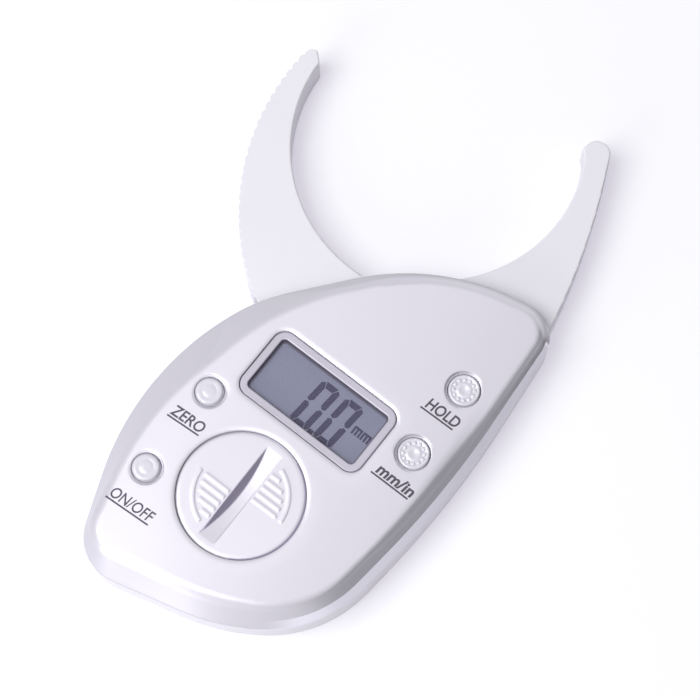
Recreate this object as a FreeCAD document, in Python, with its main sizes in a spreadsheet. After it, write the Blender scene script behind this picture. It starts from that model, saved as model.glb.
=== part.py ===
import FreeCAD, Part
import math
import os
import re
import Sketcher
from FreeCAD import Placement, Rotation, Vector

# Digital skinfold caliper, lying on its back.
#
# Frame: the origin is the jaw pivot on the flat back plane, +Z points out of
# the display, +Y points from the battery end to the jaws.  All sizes in mm.

# ---------------------------------------------------------------- sizes

SIZES = {
    # case
    "floor_thickness": 1.8,
    "case_wall": 2.0,
    "case_height": 9.2,          # height of the parting line
    "bottom_edge": 1.0,
    "floor_rib": 1.0,
    "floor_rib_height": 1.6,
    "cover_rim": 1.0,            # upright band above the parting line
    "cover_wall": 1.8,
    "crown_radius": 260.0,
    "crown_centre": -2.0,
    "crown_margin": 0.8,         # flanks are drawn this far past the crown
    "crease_inset": 1.3,
    "crease_fillet": 2.5,
    # jaws
    "jaw_top_gap": 0.3,          # jaws lie this far below the parting line
    "jaw_edge": 0.4,
    "jaw_lift": 0.3,             # moving jaw above the back plane
    "hub_gap": 0.3,              # hub above the case floor
    "hub_radius": 12.4,
    "step_radius": 25.0,         # inside this radius the jaw is a thin plate
    "jaw_skin": 2.0,
    "jaw_wall": 1.7,
    "tip_radius": 2.6,
    "tip_bulge": 0.8,
    "rib_angle": 0.8,            # half of a rib in the cored jaws, degrees
    "jaw_range": 56.0,           # degrees from open to closed
    "fixed_pad_angle": 77.1,
    "pad_inner": 61.7,
    "fixed_pad_inner": 62.3,
    "fixed_pad_outer": 65.8,
    "pad_outer": 64.2,
    "pad_clearance": 0.25,
    "slot_start": 77.0,
    "slot_end": 201.5,
    "scallop_pitch": 2.1,
    "scallop_depth": 0.5,
    # pivot
    "post_radius": 3.6,
    "post_bore": 1.27,
    "running_clearance": 0.05,
    "bush_wall": 1.0,
    "fit_clearance": 0.02,
    "washer_recess": 2.1,        # washer's seat below the top of the hub
    "washer_radius": 6.2,
    "washer_thickness": 0.5,
    "pivot_head_radius": 2.6,
    "pivot_head_height": 1.2,
    "pivot_shank_radius": 1.25,
    "spring_radius": 6.0,        # inner end of the spiral
    "spring_strip": 0.3,
    "spring_step": 0.3,          # growth of each half turn
    "spring_clearance": 0.1,
    "groove_inner": 5.6,
    "groove_outer": 8.1,
    "groove_depth": 3.4,
    "scale_inner": 7.2,
    "scale_outer": 10.9,
    "scale_thickness": 0.5,
    # electronics
    "board_gap": 0.2,            # sensing gap between scale and board
    "board_thickness": 1.2,
    "board_inset": 3.8,
    "hole_clearance": 0.3,
    "chip_radius": 3.6,
    "chip_height": 0.8,
    # display
    "display_x": 1.0,
    "display_y": -17.0,
    "display_turn": -3.0,
    "bezel_length": 30.4,
    "bezel_width": 15.8,
    "bezel_corner": 2.8,
    "bezel_frame": 1.7,
    "bezel_sink": 2.1,           # seat below the top of the crown
    "bezel_height": 1.6,
    "bezel_clearance": 0.15,
    "bezel_edge": 0.3,
    "window_corner": 1.0,
    "window_margin": 0.3,
    "lens_margin": 1.2,
    "lens_thickness": 0.8,
    "lens_clearance": 0.05,
    "ledge_thickness": 1.1,
    "panel_thickness": 1.4,
    "panel_margin": 1.8,
    "panel_gap": 0.05,
    "frame_wall": 1.4,
    "strip_width": 1.5,
    # battery
    "door_x": -0.44,
    "door_y": -41.45,
    "door_flange": 2.1,
    "door_clearance": 0.15,
    "door_sink": 2.1,            # seat below the top of the crown
    "door_relief": 0.1,          # plate's underside above its seat
    "door_thickness": 1.6,
    "door_edge": 0.3,
    "door_lean": -2.5,
    "cell_clearance": 0.25,
    "skirt_wall": 0.65,
    "skirt_depth": 2.0,
    "lug_reach": 1.3,
    "lug_height": 0.8,
    "lug_angle": 44.0,
    "lug_slack": 3.0,
    "door_turn": 60.0,
    "slot_width": 3.7,
    "slot_length": 22.0,
    "slot_depth": 1.1,
    "slot_slope": 1.5,           # plan width of the slot's sloping side
    "well_clearance": 0.5,
    "well_wall": 1.2,
    "cell_radius": 10.0,
    "cell_thickness": 3.2,
    "contact_thickness": 0.25,
    "contact_width": 5.0,
    "contact_foot": 2.0,
    "spring_plate_length": 13.0,
    "spring_plate_width": 4.0,
    # door grip
    "rib_width": 0.7,
    "rib_height": 0.3,
    "rib_gap": 0.45,             # between the slot and the ribs
    "rim_radius": 9.2,
    # buttons
    "small_button": 2.9,
    "large_button": 3.25,
    "button_clearance": 0.15,
    "button_proud": 0.35,
    "button_flange": 0.8,
    "flange_thickness": 0.6,
    "stem_radius": 1.2,
    "dome_radius": 2.2,
    "dome_height": 0.9,
    "dish_margin": 0.45,
    "dish_depth": 0.25,
    # fasteners
    "case_boss": 3.0,
    "case_screw_radius": 1.1,
    "case_head_radius": 2.2,
    "case_head_height": 1.4,
    "counterbore_depth": 2.0,
    "case_screw_bite": 3.2,      # above the parting line
    "board_boss": 2.2,
    "board_screw_radius": 0.9,
    "board_head_radius": 1.7,
    "board_head_height": 0.9,
    "board_screw_bite": 1.8,     # above the board
    "screw_clearance": 0.15,
    "recess_width": 0.5,
    "recess_depth": 0.7,
    "boss_gap": 0.1,             # between the board and what stands over it
}

# Corners of the case seen from above: x, y and corner radius, anticlockwise.
CASE_CORNERS = [
    (32.05, 26.6, 7.4),
    (3.15, 22.8, 49.3),
    (-22.35, -5.4, 38.5),
    (-33.55, -32.2, 60.6),
    (-20.85, -71.1, 9.8),
    (10.05, -64.8, 45.8),
    (28.15, -53.7, 28.3),
    (33.85, -15.6, 202.0),
]
# Corners of the top face, where the sloping flanks end.
TOP_CORNERS = [
    (31.35, 24.9, 6.8),
    (8.45, 23.4, 42.1),
    (-16.15, -0.5, 64.3),
    (-25.15, -39.0, 80.8),
    (-22.85, -67.5, 8.0),
    (5.85, -63.5, 57.5),
    (23.55, -54.3, 20.5),
    (30.35, -16.8, 196.6),
]
# Crescent of the moving jaw, jaws open: each edge is an arc between two places.
JAW_OUTER_RADIUS = 53.1
JAW_INNER_RADIUS = 33.68
JAW_INNER_ROOT = (-2.2, 12.1)
SCALLOPS_FIRST = (-46.39, 44.59)
SCALLOPS_LAST = (-23.32, -5.44)
JAW_HEEL_TURN = 11.0             # the outer edge runs on this far past the scallops
JAW_EYE = (6.4, 38.6)            # the cores' walls fan out from here
JAW_CORES = (186.0, 196.0, 205.5, 215.0, 224.5)
JAW_SLOT_REACH = 34.0
# Fixed jaw, moulded with the lower housing.
FIXED_OUTER_RADIUS = 145.2
FIXED_INNER_RADIUS = 31.3
FIXED_EYE = (-13.0, 45.5)
FIXED_CORES = (-25.0, -14.0, -3.5, 7.0, 18.5)
FIXED_OUTER, FIXED_INNER = 1, 6  # their places among the fixed jaw's corners
# Spiral spring: half turns, and the angles its stops reach past its ends.
SPRING_HALVES = 5
SPRING_STOP = (0.6, 9.0)
# Stiffening ribs on the case floor: two ends each.
FLOOR_RIBS = [
    ((-26.0, -34.0), (26.0, -34.0)),
    ((-20.0, -48.0), (22.0, -48.0)),
    ((0.0, -62.0), (0.0, -16.0)),
]
# How far the cut that shapes the crown reaches across, above and along the case.
CROWN_REACH = 60.0
CLEAR_ABOVE = 8.0
CASE_REACH = 100.0
# Rows of grip ribs on the battery door, and how far out they reach.
RIB_PLACES = [7.0, 5.45, 3.9, 2.35, 0.8]
RIB_REACH = 8.3
RIM_TURN = (3.0, 70.0)           # where the arc round each row of ribs starts and ends
# Screw places.
CASE_SCREWS = [(-17.5, -61.0), (19.0, -50.5), (26.9, 18.0), (-21.6, -20.0)]
BOARD_SCREWS = [(20.0, -33.5), (17.2, 9.0), (-19.6, -37.7), (9.2, -57.8)]
# Buttons: name, x, y and the size that holds the cap radius.
BUTTONS = [
    ("zero", -17.96, -27.81, "small_button"),
    ("on_off", -19.16, -47.62, "small_button"),
    ("hold", 23.65, 1.86, "large_button"),
    ("unit", 22.76, -14.66, "large_button"),
]
# Small parts on the board: x, y, length, width, height.
BOARD_PARTS = [
    (4.0, 1.5, 2.0, 1.2, 0.8),
    (8.0, 1.5, 2.0, 1.2, 0.8),
    (4.0, 5.0, 3.2, 1.6, 0.9),
    (9.5, 5.6, 5.0, 4.0, 1.1),
    (-4.5, 3.0, 2.0, 1.2, 0.6),
    (18.6, -40.5, 3.2, 1.6, 0.9),
]

# Heights worked out from the sizes.
JAW_TOP = "case_height - jaw_top_gap"
HUB_BOTTOM = "floor_thickness + hub_gap"
WASHER_SEAT = JAW_TOP + " - washer_recess"
GROOVE_TOP = "floor_thickness + hub_gap + groove_depth"
POST_TOP = WASHER_SEAT + " + running_clearance"
SCALE_TOP = JAW_TOP + " + scale_thickness"
BOARD_BOTTOM = SCALE_TOP + " + board_gap"
BOARD_TOP = BOARD_BOTTOM + " + board_thickness"
CELL_BOTTOM = BOARD_TOP + " + contact_thickness + boss_gap"
CELL_TOP = CELL_BOTTOM + " + cell_thickness"
DOOR_SEAT = CELL_TOP + " + cell_clearance - door_relief"
CROWN_TOP = DOOR_SEAT + " + door_sink"
DOOR_LEDGE = DOOR_SEAT + " - ledge_thickness"
SKIRT_BOTTOM = DOOR_SEAT + " - skirt_depth"
BLEND_HEIGHT = "case_height + cover_rim"
COVER_TOP = CROWN_TOP + " + crown_margin"
BEZEL_SEAT = CROWN_TOP + " - bezel_sink"
LEDGE_BOTTOM = BEZEL_SEAT + " - ledge_thickness"
PANEL_TOP = LEDGE_BOTTOM + " - panel_gap"
PANEL_BOTTOM = PANEL_TOP + " - panel_thickness"

# Radii worked out from the sizes.
BUSH_OUTSIDE = "post_radius + running_clearance + bush_wall"
SKIRT_RADIUS = "cell_radius + cell_clearance + skirt_wall"
DOOR_RADIUS = SKIRT_RADIUS + " + door_flange"
WELL_RADIUS = SKIRT_RADIUS + " + lug_reach + well_clearance"

doc = FreeCAD.newDocument("skinfold_caliper")
sheet = doc.addObject("Spreadsheet::Sheet", "Sizes")
for row, (alias, number) in enumerate(SIZES.items(), start=1):
    sheet.set("A%d" % row, alias)
    sheet.set("B%d" % row, str(number))
    sheet.setAlias("B%d" % row, alias)
doc.recompute()

pieces = []

# ---------------------------------------------------------------- sizes as numbers and formulas

TERM = re.compile(r"([+-]?)\s*(?:([\d.]+)\s*\*\s*)?([a-z]\w*|[\d.]+)")


def value(text):
    """The number that a sum of sizes stands for."""
    total = 0.0
    for sign, factor, name in TERM.findall(str(text)):
        term = float(sheet.get(name)) if name[0].isalpha() else float(name)
        if factor:
            term *= float(factor)
        total += -term if sign == "-" else term
    return total


def bind(thing, prop, text):
    """Ties a property to a formula of the sheet's sizes."""
    thing.setExpression(prop, re.sub(r"[a-z]\w*", lambda name: "Sizes." + name.group(), str(text)))


# ---------------------------------------------------------------- plan geometry


def polar(radius, angle, centre=(0.0, 0.0)):
    turn = math.radians(angle)
    return Vector(centre[0] + radius * math.cos(turn), centre[1] + radius * math.sin(turn), 0)


def line(start, end):
    return Part.LineSegment(start, end)


def arc_about(centre, radius, start_angle, end_angle):
    middle = (start_angle + end_angle) / 2
    points = [polar(radius, angle, centre) for angle in (start_angle, middle, end_angle)]
    return Part.Arc(*points)


def centre_between(start, end, radius):
    """Centre of the arc of a radius that turns left on its way from start to end."""
    chord = end - start
    rise = math.sqrt(radius ** 2 - (chord.Length / 2) ** 2)
    left = Vector(-chord.y, chord.x, 0).normalize()
    return (start + end) / 2 + left * rise


def angle_from(centre, point):
    turn = math.degrees(math.atan2(point.y - centre.y, point.x - centre.x))
    return turn % 360


def disc(x, y, radius):
    """A circle whose centre and radius follow the sheet."""
    return ("disc", str(x), str(y), str(radius))


def inset_corners(corners, inset):
    """Moves every side inwards and meets the neighbours again."""
    moved = []
    count = len(corners)
    for i in range(count):
        before = Vector(*corners[i - 1][:2], 0)
        here = Vector(*corners[i][:2], 0)
        after = Vector(*corners[(i + 1) % count][:2], 0)
        arriving = (here - before).normalize()
        leaving = (after - here).normalize()
        first = Vector(-arriving.y, arriving.x, 0)
        second = Vector(-leaving.y, leaving.x, 0)
        shift = (first + second) * (inset / (1 + first.dot(second)))
        turn = arriving.cross(leaving).z
        radius = corners[i][2] - math.copysign(inset, turn)
        moved.append((here.x + shift.x, here.y + shift.y, max(radius, 0.2)))
    return moved


def corner_arcs(corners):
    """Start, end, centre and radius of the arc in each corner, limited by its sides."""
    count = len(corners)
    points = [Vector(x, y, 0) for x, y, _ in corners]
    reach = []
    for i in range(count):
        back = (points[i - 1] - points[i]).normalize()
        ahead = (points[(i + 1) % count] - points[i]).normalize()
        half = back.getAngle(ahead) / 2
        reach.append([corners[i][2] / math.tan(half), back, ahead, half])
    limit = [item[0] for item in reach]
    for i in range(count):
        after = (i + 1) % count
        side = (points[after] - points[i]).Length * 0.98
        wanted = reach[i][0] + reach[after][0]
        if wanted > side:
            limit[i] = min(limit[i], reach[i][0] * side / wanted)
            limit[after] = min(limit[after], reach[after][0] * side / wanted)
    arcs = []
    for i in range(count):
        tangent, (_, back, ahead, half) = limit[i], reach[i]
        radius = tangent * math.tan(half)
        centre = points[i] + (back + ahead).normalize() * (radius / math.sin(half))
        arcs.append((points[i] + back * tangent, points[i] + ahead * tangent, centre, radius))
    return arcs


def rounded_outline(corners, inset=0.0):
    """Lines and tangent arcs round a polygon."""
    arcs = corner_arcs(inset_corners(corners, inset) if inset else corners)
    edges = []
    for i, (start, end, centre, radius) in enumerate(arcs):
        if radius > 1e-6:
            middle = centre + ((start + end) / 2 - centre).normalize() * radius
            edges.append(Part.Arc(start, middle, end))
        following = arcs[(i + 1) % len(arcs)][0]
        if (following - end).Length > 1e-6:
            edges.append(line(end, following))
    return edges


def rounded_rectangle(x, y, length, width, corner, turn=0.0):
    spin = Rotation(Vector(0, 0, 1), turn)
    corners = []
    for side_x, side_y in ((1, 1), (-1, 1), (-1, -1), (1, -1)):
        point = spin.multVec(Vector(side_x * length / 2, side_y * width / 2, 0))
        corners.append((x + point.x, y + point.y, corner))
    return rounded_outline(corners)


def ring_sector(inner, outer, start_angle, end_angle, centre=(0.0, 0.0)):
    return [
        arc_about(centre, inner, start_angle, end_angle),
        line(polar(inner, end_angle, centre), polar(outer, end_angle, centre)),
        arc_about(centre, outer, start_angle, end_angle),
        line(polar(outer, start_angle, centre), polar(inner, start_angle, centre)),
    ]


def ray_hit(origin, angle, centre, radius):
    """Where a ray from inside a circle leaves it."""
    heading = polar(1, angle)
    offset = Vector(origin[0] - centre[0], origin[1] - centre[1], 0)
    along = offset.dot(heading)
    distance = -along + math.sqrt(along ** 2 - offset.Length ** 2 + radius ** 2)
    return polar(distance, angle, origin)


def crescent_cell(eye, start_angle, end_angle, inner, outer):
    """A moulding core between two circles and two rays from eye."""
    angles = (start_angle, (start_angle + end_angle) / 2, end_angle)
    near = [ray_hit(eye, angle, *inner) for angle in angles]
    far = [ray_hit(eye, angle, *outer) for angle in angles]
    return [Part.Arc(*near), line(near[2], far[2]), Part.Arc(*far), line(far[0], near[0])]


# ---------------------------------------------------------------- bodies and features


def new_body(label, keep=True):
    body = doc.addObject("PartDesign::Body", label)
    body.Label = label
    if keep:
        pieces.append(body)
    return body


def new_sketch(body, outline, height="0", role="XY_Plane"):
    """A sketch on one of the body's own planes, lifted to a height."""
    sketch = body.newObject("Sketcher::SketchObject", body.Label + "_sketch")
    plane = [item for item in body.Origin.OriginFeatures if item.Role == role][0]
    sketch.AttachmentSupport = (plane, [""])
    sketch.MapMode = "FlatFace"
    bind(sketch, "AttachmentOffset.Base.z", height)
    for item in outline:
        if not isinstance(item, tuple):
            sketch.addGeometry(item)
            continue
        _, x, y, radius = item
        centre = Vector(value(x), value(y), 0)
        circle = sketch.addGeometry(Part.Circle(centre, Vector(0, 0, 1), value(radius)))
        across = Sketcher.Constraint("DistanceX", -1, 1, circle, 3, centre.x)
        along = Sketcher.Constraint("DistanceY", -1, 1, circle, 3, centre.y)
        size = Sketcher.Constraint("Radius", circle, value(radius))
        for constraint, text in ((across, x), (along, y), (size, radius)):
            index = sketch.addConstraint(constraint)
            bind(sketch, "Constraints[%d]" % index, text)
    return sketch


def profile_sketch(body, points, role="XZ_Plane"):
    """A closed polygon whose every point follows the sheet."""
    sketch = body.newObject("Sketcher::SketchObject", body.Label + "_profile")
    plane = [item for item in body.Origin.OriginFeatures if item.Role == role][0]
    sketch.AttachmentSupport = (plane, [""])
    sketch.MapMode = "FlatFace"
    places = [Vector(value(x), value(y), 0) for x, y in points]
    count = len(points)
    for i in range(count):
        sketch.addGeometry(line(places[i], places[(i + 1) % count]))
    for i in range(count):
        sketch.addConstraint(Sketcher.Constraint("Coincident", i, 2, (i + 1) % count, 1))
    for i, (x, y) in enumerate(points):
        across = Sketcher.Constraint("DistanceX", -1, 1, i, 1, places[i].x)
        along = Sketcher.Constraint("DistanceY", -1, 1, i, 1, places[i].y)
        for constraint, text in ((across, x), (along, y)):
            index = sketch.addConstraint(constraint)
            bind(sketch, "Constraints[%d]" % index, text)
    return sketch


def pad(body, outline, bottom, top):
    sketch = new_sketch(body, outline, bottom)
    feature = body.newObject("PartDesign::Pad", body.Label + "_pad")
    feature.Profile = sketch
    bind(feature, "Length", "(%s) - (%s)" % (top, bottom))
    return feature


def cut(body, outline, bottom, top):
    """A pocket from top down to bottom."""
    doc.recompute()
    before = body.Shape.Volume
    sketch = new_sketch(body, outline, top)
    feature = body.newObject("PartDesign::Pocket", body.Label + "_pocket")
    feature.Profile = sketch
    bind(feature, "Length", "(%s) - (%s)" % (top, bottom))
    doc.recompute()
    if body.Shape.Volume > before - 1e-6:
        raise RuntimeError("a pocket of %s cut nothing" % body.Label)
    return feature


def turned(body, points):
    """A solid turned about the body's own Z axis."""
    sketch = profile_sketch(body, points)
    feature = body.newObject("PartDesign::Revolution", body.Label + "_turned")
    feature.Profile = sketch
    feature.ReferenceAxis = (sketch, ["V_Axis"])
    feature.Angle = 360
    return feature


def stand_at(body, x, y, turn="0"):
    body.Placement = Placement(Vector(value(x), value(y), 0), Rotation(Vector(0, 0, 1), value(turn)))
    bind(body, "Placement.Base.x", x)
    bind(body, "Placement.Base.y", y)
    bind(body, "Placement.Rotation.Angle", turn)


def round_edges(body, radius, wanted):
    """Fillets the edges that the test picks."""
    doc.recompute()
    tip = body.Tip
    names = ["Edge%d" % (i + 1) for i, edge in enumerate(tip.Shape.Edges) if wanted(edge)]
    feature = body.newObject("PartDesign::Fillet", body.Label + "_fillet")
    feature.Base = (tip, names)
    bind(feature, "Radius", radius)
    return feature


def edges_at(height, inside=None):
    """Test for edges that lie wholly at one height, and inside a test of the middle."""
    level = value(height)

    def wanted(edge):
        box = edge.BoundBox
        if abs(box.ZMin - level) > 1e-4 or abs(box.ZMax - level) > 1e-4:
            return False
        middle = edge.valueAt((edge.FirstParameter + edge.LastParameter) / 2)
        return inside is None or inside(middle)

    return wanted


def open_above(body):
    """Test for places with nothing of the body over them."""
    doc.recompute()
    shape = body.Shape
    return lambda place: not shape.isInside(place + Vector(0, 0, 0.1), 0.05, True)


# ---------------------------------------------------------------- lower housing


def floor_rib(start, end):
    """A straight rib between two places on the floor."""
    first = Vector(*start, 0)
    along = Vector(*end, 0) - first
    side = Vector(-along.y, along.x, 0).normalize() * (value("floor_rib") / 2)
    corners = [first - side, first + along - side, first + along + side, first + side]
    return [line(corners[i - 1], corners[i]) for i in range(4)]


def fixed_jaw_corners():
    angle = value("fixed_pad_angle")
    pad_bottom = polar(value("fixed_pad_inner"), angle)
    pad_top = polar(value("fixed_pad_outer"), angle)
    tip = value("tip_radius")
    return [
        (31.7, 12.5, 0.0),
        (28.15, 42.73, FIXED_OUTER_RADIUS),
        (18.77, 64.52, tip),
        (pad_top.x, pad_top.y, tip),
        (pad_bottom.x, pad_bottom.y, 0.3),
        (15.05, 59.75, 0.5),
        (25.35, 38.88, FIXED_INNER_RADIUS),
        (7.3, 20.85, 0.0),
        (14.0, 12.0, 0.0),
    ]


def core_cells(eye, angles, inner, outer):
    """The cores of a jaw, parted by thin walls."""
    rib = value("rib_angle")
    cells = []
    for start, end in zip(angles, angles[1:]):
        cells.append(crescent_cell(eye, start + rib, end - rib, inner, outer))
    return cells


def lower_housing():
    body = new_body("lower_housing")
    pad(body, rounded_outline(CASE_CORNERS), "0", "case_height")
    jaw = fixed_jaw_corners()
    pad(body, rounded_outline(jaw), "0", JAW_TOP)
    round_edges(body, "bottom_edge", edges_at("0"))
    round_edges(body, "jaw_edge", edges_at(JAW_TOP, open_above(body)))
    bosses = [disc(x, y, "case_boss") for x, y in CASE_SCREWS]
    cut(body, rounded_outline(CASE_CORNERS, value("case_wall")) + bosses,
        "floor_thickness", "case_height")
    slot = ring_sector(value("post_radius + case_wall"), JAW_SLOT_REACH,
                       value("slot_start"), value("slot_end"))
    cut(body, slot, "floor_thickness", "case_height")
    for ends in FLOOR_RIBS:
        pad(body, floor_rib(*ends), "floor_thickness", "floor_thickness + floor_rib_height")
    pad(body, [disc(0, 0, "post_radius")], "floor_thickness", POST_TOP)
    cut(body, [disc(0, 0, "post_bore")], "floor_thickness", POST_TOP)
    outer_end = value("spring_radius") + (SPRING_HALVES - 1) * value("spring_step")
    strip = value("spring_strip")
    pad(body, spring_stop(outer_end - strip / 2, outer_end + 2 * strip, 180.0),
        "floor_thickness", GROOVE_TOP + " - hub_gap")
    shanks = [disc(x, y, "case_screw_radius + screw_clearance") for x, y in CASE_SCREWS]
    cut(body, shanks, "0", "case_height")
    heads = [disc(x, y, "case_head_radius + screw_clearance") for x, y in CASE_SCREWS]
    cut(body, heads, "0", "counterbore_depth")
    wall = value("jaw_wall")
    arcs = corner_arcs(jaw)
    _, _, inner_centre, inner_radius = arcs[FIXED_INNER]
    _, _, outer_centre, outer_radius = arcs[FIXED_OUTER]
    cells = core_cells(FIXED_EYE, FIXED_CORES, (inner_centre, inner_radius + wall),
                       (outer_centre, outer_radius - wall))
    for cell in cells:
        cut(body, cell, "0", JAW_TOP + " - jaw_skin")
    return body


# ---------------------------------------------------------------- top cover


def crown_height(x, depth=0.0):
    """Height of the crowned top, or of a surface a depth below it, at x."""
    radius = value("crown_radius")
    across = x - value("crown_centre")
    return value(CROWN_TOP) - radius + math.sqrt((radius - depth) ** 2 - across ** 2)


def crowned_block(body, bottom, inset, depth):
    """Upright rim, sloping flanks and a top crowned across its width."""
    base = rounded_outline(CASE_CORNERS, inset)
    pad(body, base, bottom, BLEND_HEIGHT)
    lower = new_sketch(body, base, BLEND_HEIGHT)
    upper = new_sketch(body, rounded_outline(TOP_CORNERS, value("crease_inset") + inset), COVER_TOP)
    loft = body.newObject("PartDesign::AdditiveLoft", body.Label + "_flanks")
    loft.Profile = lower
    loft.Sections = [upper]
    loft.Ruled = True
    radius = value("crown_radius")
    centre = (value("crown_centre"), value(CROWN_TOP) - radius)
    half = math.degrees(math.asin(CROWN_REACH / (radius - depth)))
    start = polar(radius - depth, 90 - half, centre)
    end = polar(radius - depth, 90 + half, centre)
    above = value(COVER_TOP) + CLEAR_ABOVE
    outline = [
        arc_about(centre, radius - depth, 90 - half, 90 + half),
        line(end, Vector(end.x, above, 0)),
        line(Vector(end.x, above, 0), Vector(start.x, above, 0)),
        line(Vector(start.x, above, 0), start),
    ]
    crown = body.newObject("PartDesign::Pocket", body.Label + "_crown")
    crown.Profile = new_sketch(body, outline, "0", "XZ_Plane")
    crown.SideType = "Symmetric"
    crown.Length = 2 * CASE_REACH
    doc.recompute()


def is_crease(edge):
    """Edges between the crowned top and the sloping flanks."""
    box = edge.BoundBox
    middle = edge.valueAt((edge.FirstParameter + edge.LastParameter) / 2)
    return box.ZMin > value(BLEND_HEIGHT) + 1.0 and abs(middle.z - crown_height(middle.x)) < 0.02


def cover_core():
    """The space inside the cover, less the bosses and walls that hang from its roof."""
    body = new_body("cover_core", keep=False)
    crowned_block(body, "case_height - 1", value("cover_wall"), value("cover_wall"))
    cut(body, [disc(x, y, "case_boss") for x, y in CASE_SCREWS], "case_height", COVER_TOP)
    cut(body, [disc(x, y, "board_boss") for x, y in BOARD_SCREWS], BOARD_TOP, COVER_TOP)
    well_outside = disc("door_x", "door_y", WELL_RADIUS + " + well_wall")
    cut(body, [disc("door_x", "door_y", WELL_RADIUS), well_outside], BOARD_TOP + " + boss_gap", COVER_TOP)
    cut(body, [well_outside], DOOR_LEDGE, COVER_TOP)
    cut(body, display_outline(value("2 * ledge_thickness + 2 * bezel_clearance")),
        LEDGE_BOTTOM, COVER_TOP)
    return body


def display_outline(margin, corner="bezel_corner"):
    """The bezel's outline, grown by half the margin on every side."""
    return rounded_rectangle(
        value("display_x"), value("display_y"), value("bezel_length") + margin,
        value("bezel_width") + margin, max(value(corner) + margin / 2, 0.3), value("display_turn"))


def window_outline(margin):
    """The bezel's opening, grown by half the margin on every side."""
    frame = value("2 * bezel_frame")
    return rounded_rectangle(
        value("display_x"), value("display_y"), value("bezel_length") - frame + margin,
        value("bezel_width") - frame + margin, value("window_corner") + margin / 2,
        value("display_turn"))


def lug_sectors(inner, outer, centre, start, extra):
    half = value("lug_angle") / 2 + extra
    sectors = []
    for side in (0, 180):
        sectors += ring_sector(inner, outer, start + side - half, start + side + half, centre)
    return sectors


def top_cover():
    body = new_body("top_cover")
    crowned_block(body, "case_height", 0.0, 0.0)
    round_edges(body, "crease_fillet", is_crease)
    doc.recompute()
    hollow = body.newObject("PartDesign::Boolean", "top_cover_hollow")
    hollow.setObjects([cover_core()])
    hollow.Type = "Cut"
    doc.recompute()
    cut(body, [disc("door_x", "door_y", DOOR_RADIUS + " + door_clearance")], DOOR_SEAT, COVER_TOP)
    cut(body, [disc("door_x", "door_y", SKIRT_RADIUS + " + door_clearance")], DOOR_LEDGE, DOOR_SEAT)
    centre = (value("door_x"), value("door_y"))
    entry = lug_sectors(
        value(SKIRT_RADIUS), value(SKIRT_RADIUS + " + lug_reach + door_clearance"), centre,
        value("door_lean + door_turn"), value("lug_slack"))
    cut(body, entry, DOOR_LEDGE, DOOR_SEAT)
    cut(body, display_outline(value("2 * bezel_clearance")), BEZEL_SEAT, COVER_TOP)
    cut(body, window_outline(value("2 * window_margin")), LEDGE_BOTTOM, BEZEL_SEAT)
    for _, x, y, radius in BUTTONS:
        cut(body, [disc(x, y, radius + " + button_clearance")], BOARD_TOP, COVER_TOP)
        dish = str(round(crown_height(x) - value("dish_depth"), 3))
        cut(body, [disc(x, y, radius + " + button_clearance + dish_margin")], dish, COVER_TOP)
    cores = [disc(x, y, "case_screw_radius + fit_clearance") for x, y in CASE_SCREWS]
    cut(body, cores, "case_height", "case_height + case_screw_bite + boss_gap")
    cores = [disc(x, y, "board_screw_radius + fit_clearance") for x, y in BOARD_SCREWS]
    cut(body, cores, BOARD_TOP, BOARD_TOP + " + board_screw_bite + boss_gap")
    return body


# ---------------------------------------------------------------- moving jaw and pivot


def moving_pad_angle():
    gap = math.degrees(value("pad_clearance") / value("pad_inner"))
    return value("fixed_pad_angle") + value("jaw_range") + gap


def outer_centre():
    """Centre of the moving jaw's scalloped edge."""
    return centre_between(Vector(*SCALLOPS_FIRST, 0), Vector(*SCALLOPS_LAST, 0), JAW_OUTER_RADIUS)


def crescent_outline():
    """Pad, smooth inner edge, root inside the hub and scalloped outer edge."""
    angle = moving_pad_angle()
    pad_bottom = polar(value("pad_inner"), angle)
    pad_top = polar(value("pad_outer"), angle)
    root = Vector(*JAW_INNER_ROOT, 0)
    inner_centre = centre_between(pad_bottom, root, JAW_INNER_RADIUS)
    inner_turn = (angle_from(inner_centre, pad_bottom) + angle_from(inner_centre, root)) / 2
    outer = outer_centre()
    valley = JAW_OUTER_RADIUS - value("scallop_depth")
    first_angle = angle_from(outer, Vector(*SCALLOPS_FIRST, 0))
    last_angle = angle_from(outer, Vector(*SCALLOPS_LAST, 0))
    heel = polar(valley, last_angle + JAW_HEEL_TURN, outer)
    first = polar(valley, first_angle, outer)
    pivot = Vector(0, 0, 0)
    edges = [
        Part.Arc(pad_bottom, polar(JAW_INNER_RADIUS, inner_turn, inner_centre), root),
        line(root, pivot),
        line(pivot, heel),
        arc_about(outer, valley, last_angle + JAW_HEEL_TURN, last_angle),
    ]
    length = math.radians(last_angle - first_angle) * JAW_OUTER_RADIUS
    count = int(length / value("scallop_pitch"))
    step = (first_angle - last_angle) / count
    for i in range(count):
        start = last_angle + i * step
        edges.append(Part.Arc(
            polar(valley, start, outer),
            polar(JAW_OUTER_RADIUS, start + step / 2, outer),
            polar(valley, start + step, outer)))
    chord = pad_top - first
    bulge = Vector(-chord.y, chord.x, 0).normalize() * value("tip_bulge")
    edges.append(Part.Arc(first, first + chord * 0.5 + bulge, pad_top))
    edges.append(line(pad_top, pad_bottom))
    return edges


def is_smooth_edge(place):
    """Places on the jaw's inner edge and on its tip, clear of the scallops and the hub."""
    from_outer = (place - outer_centre()).Length - JAW_OUTER_RADIUS
    on_scallops = -1.5 * value("scallop_depth") < from_outer
    return place.Length > value("hub_radius") and not on_scallops


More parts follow.
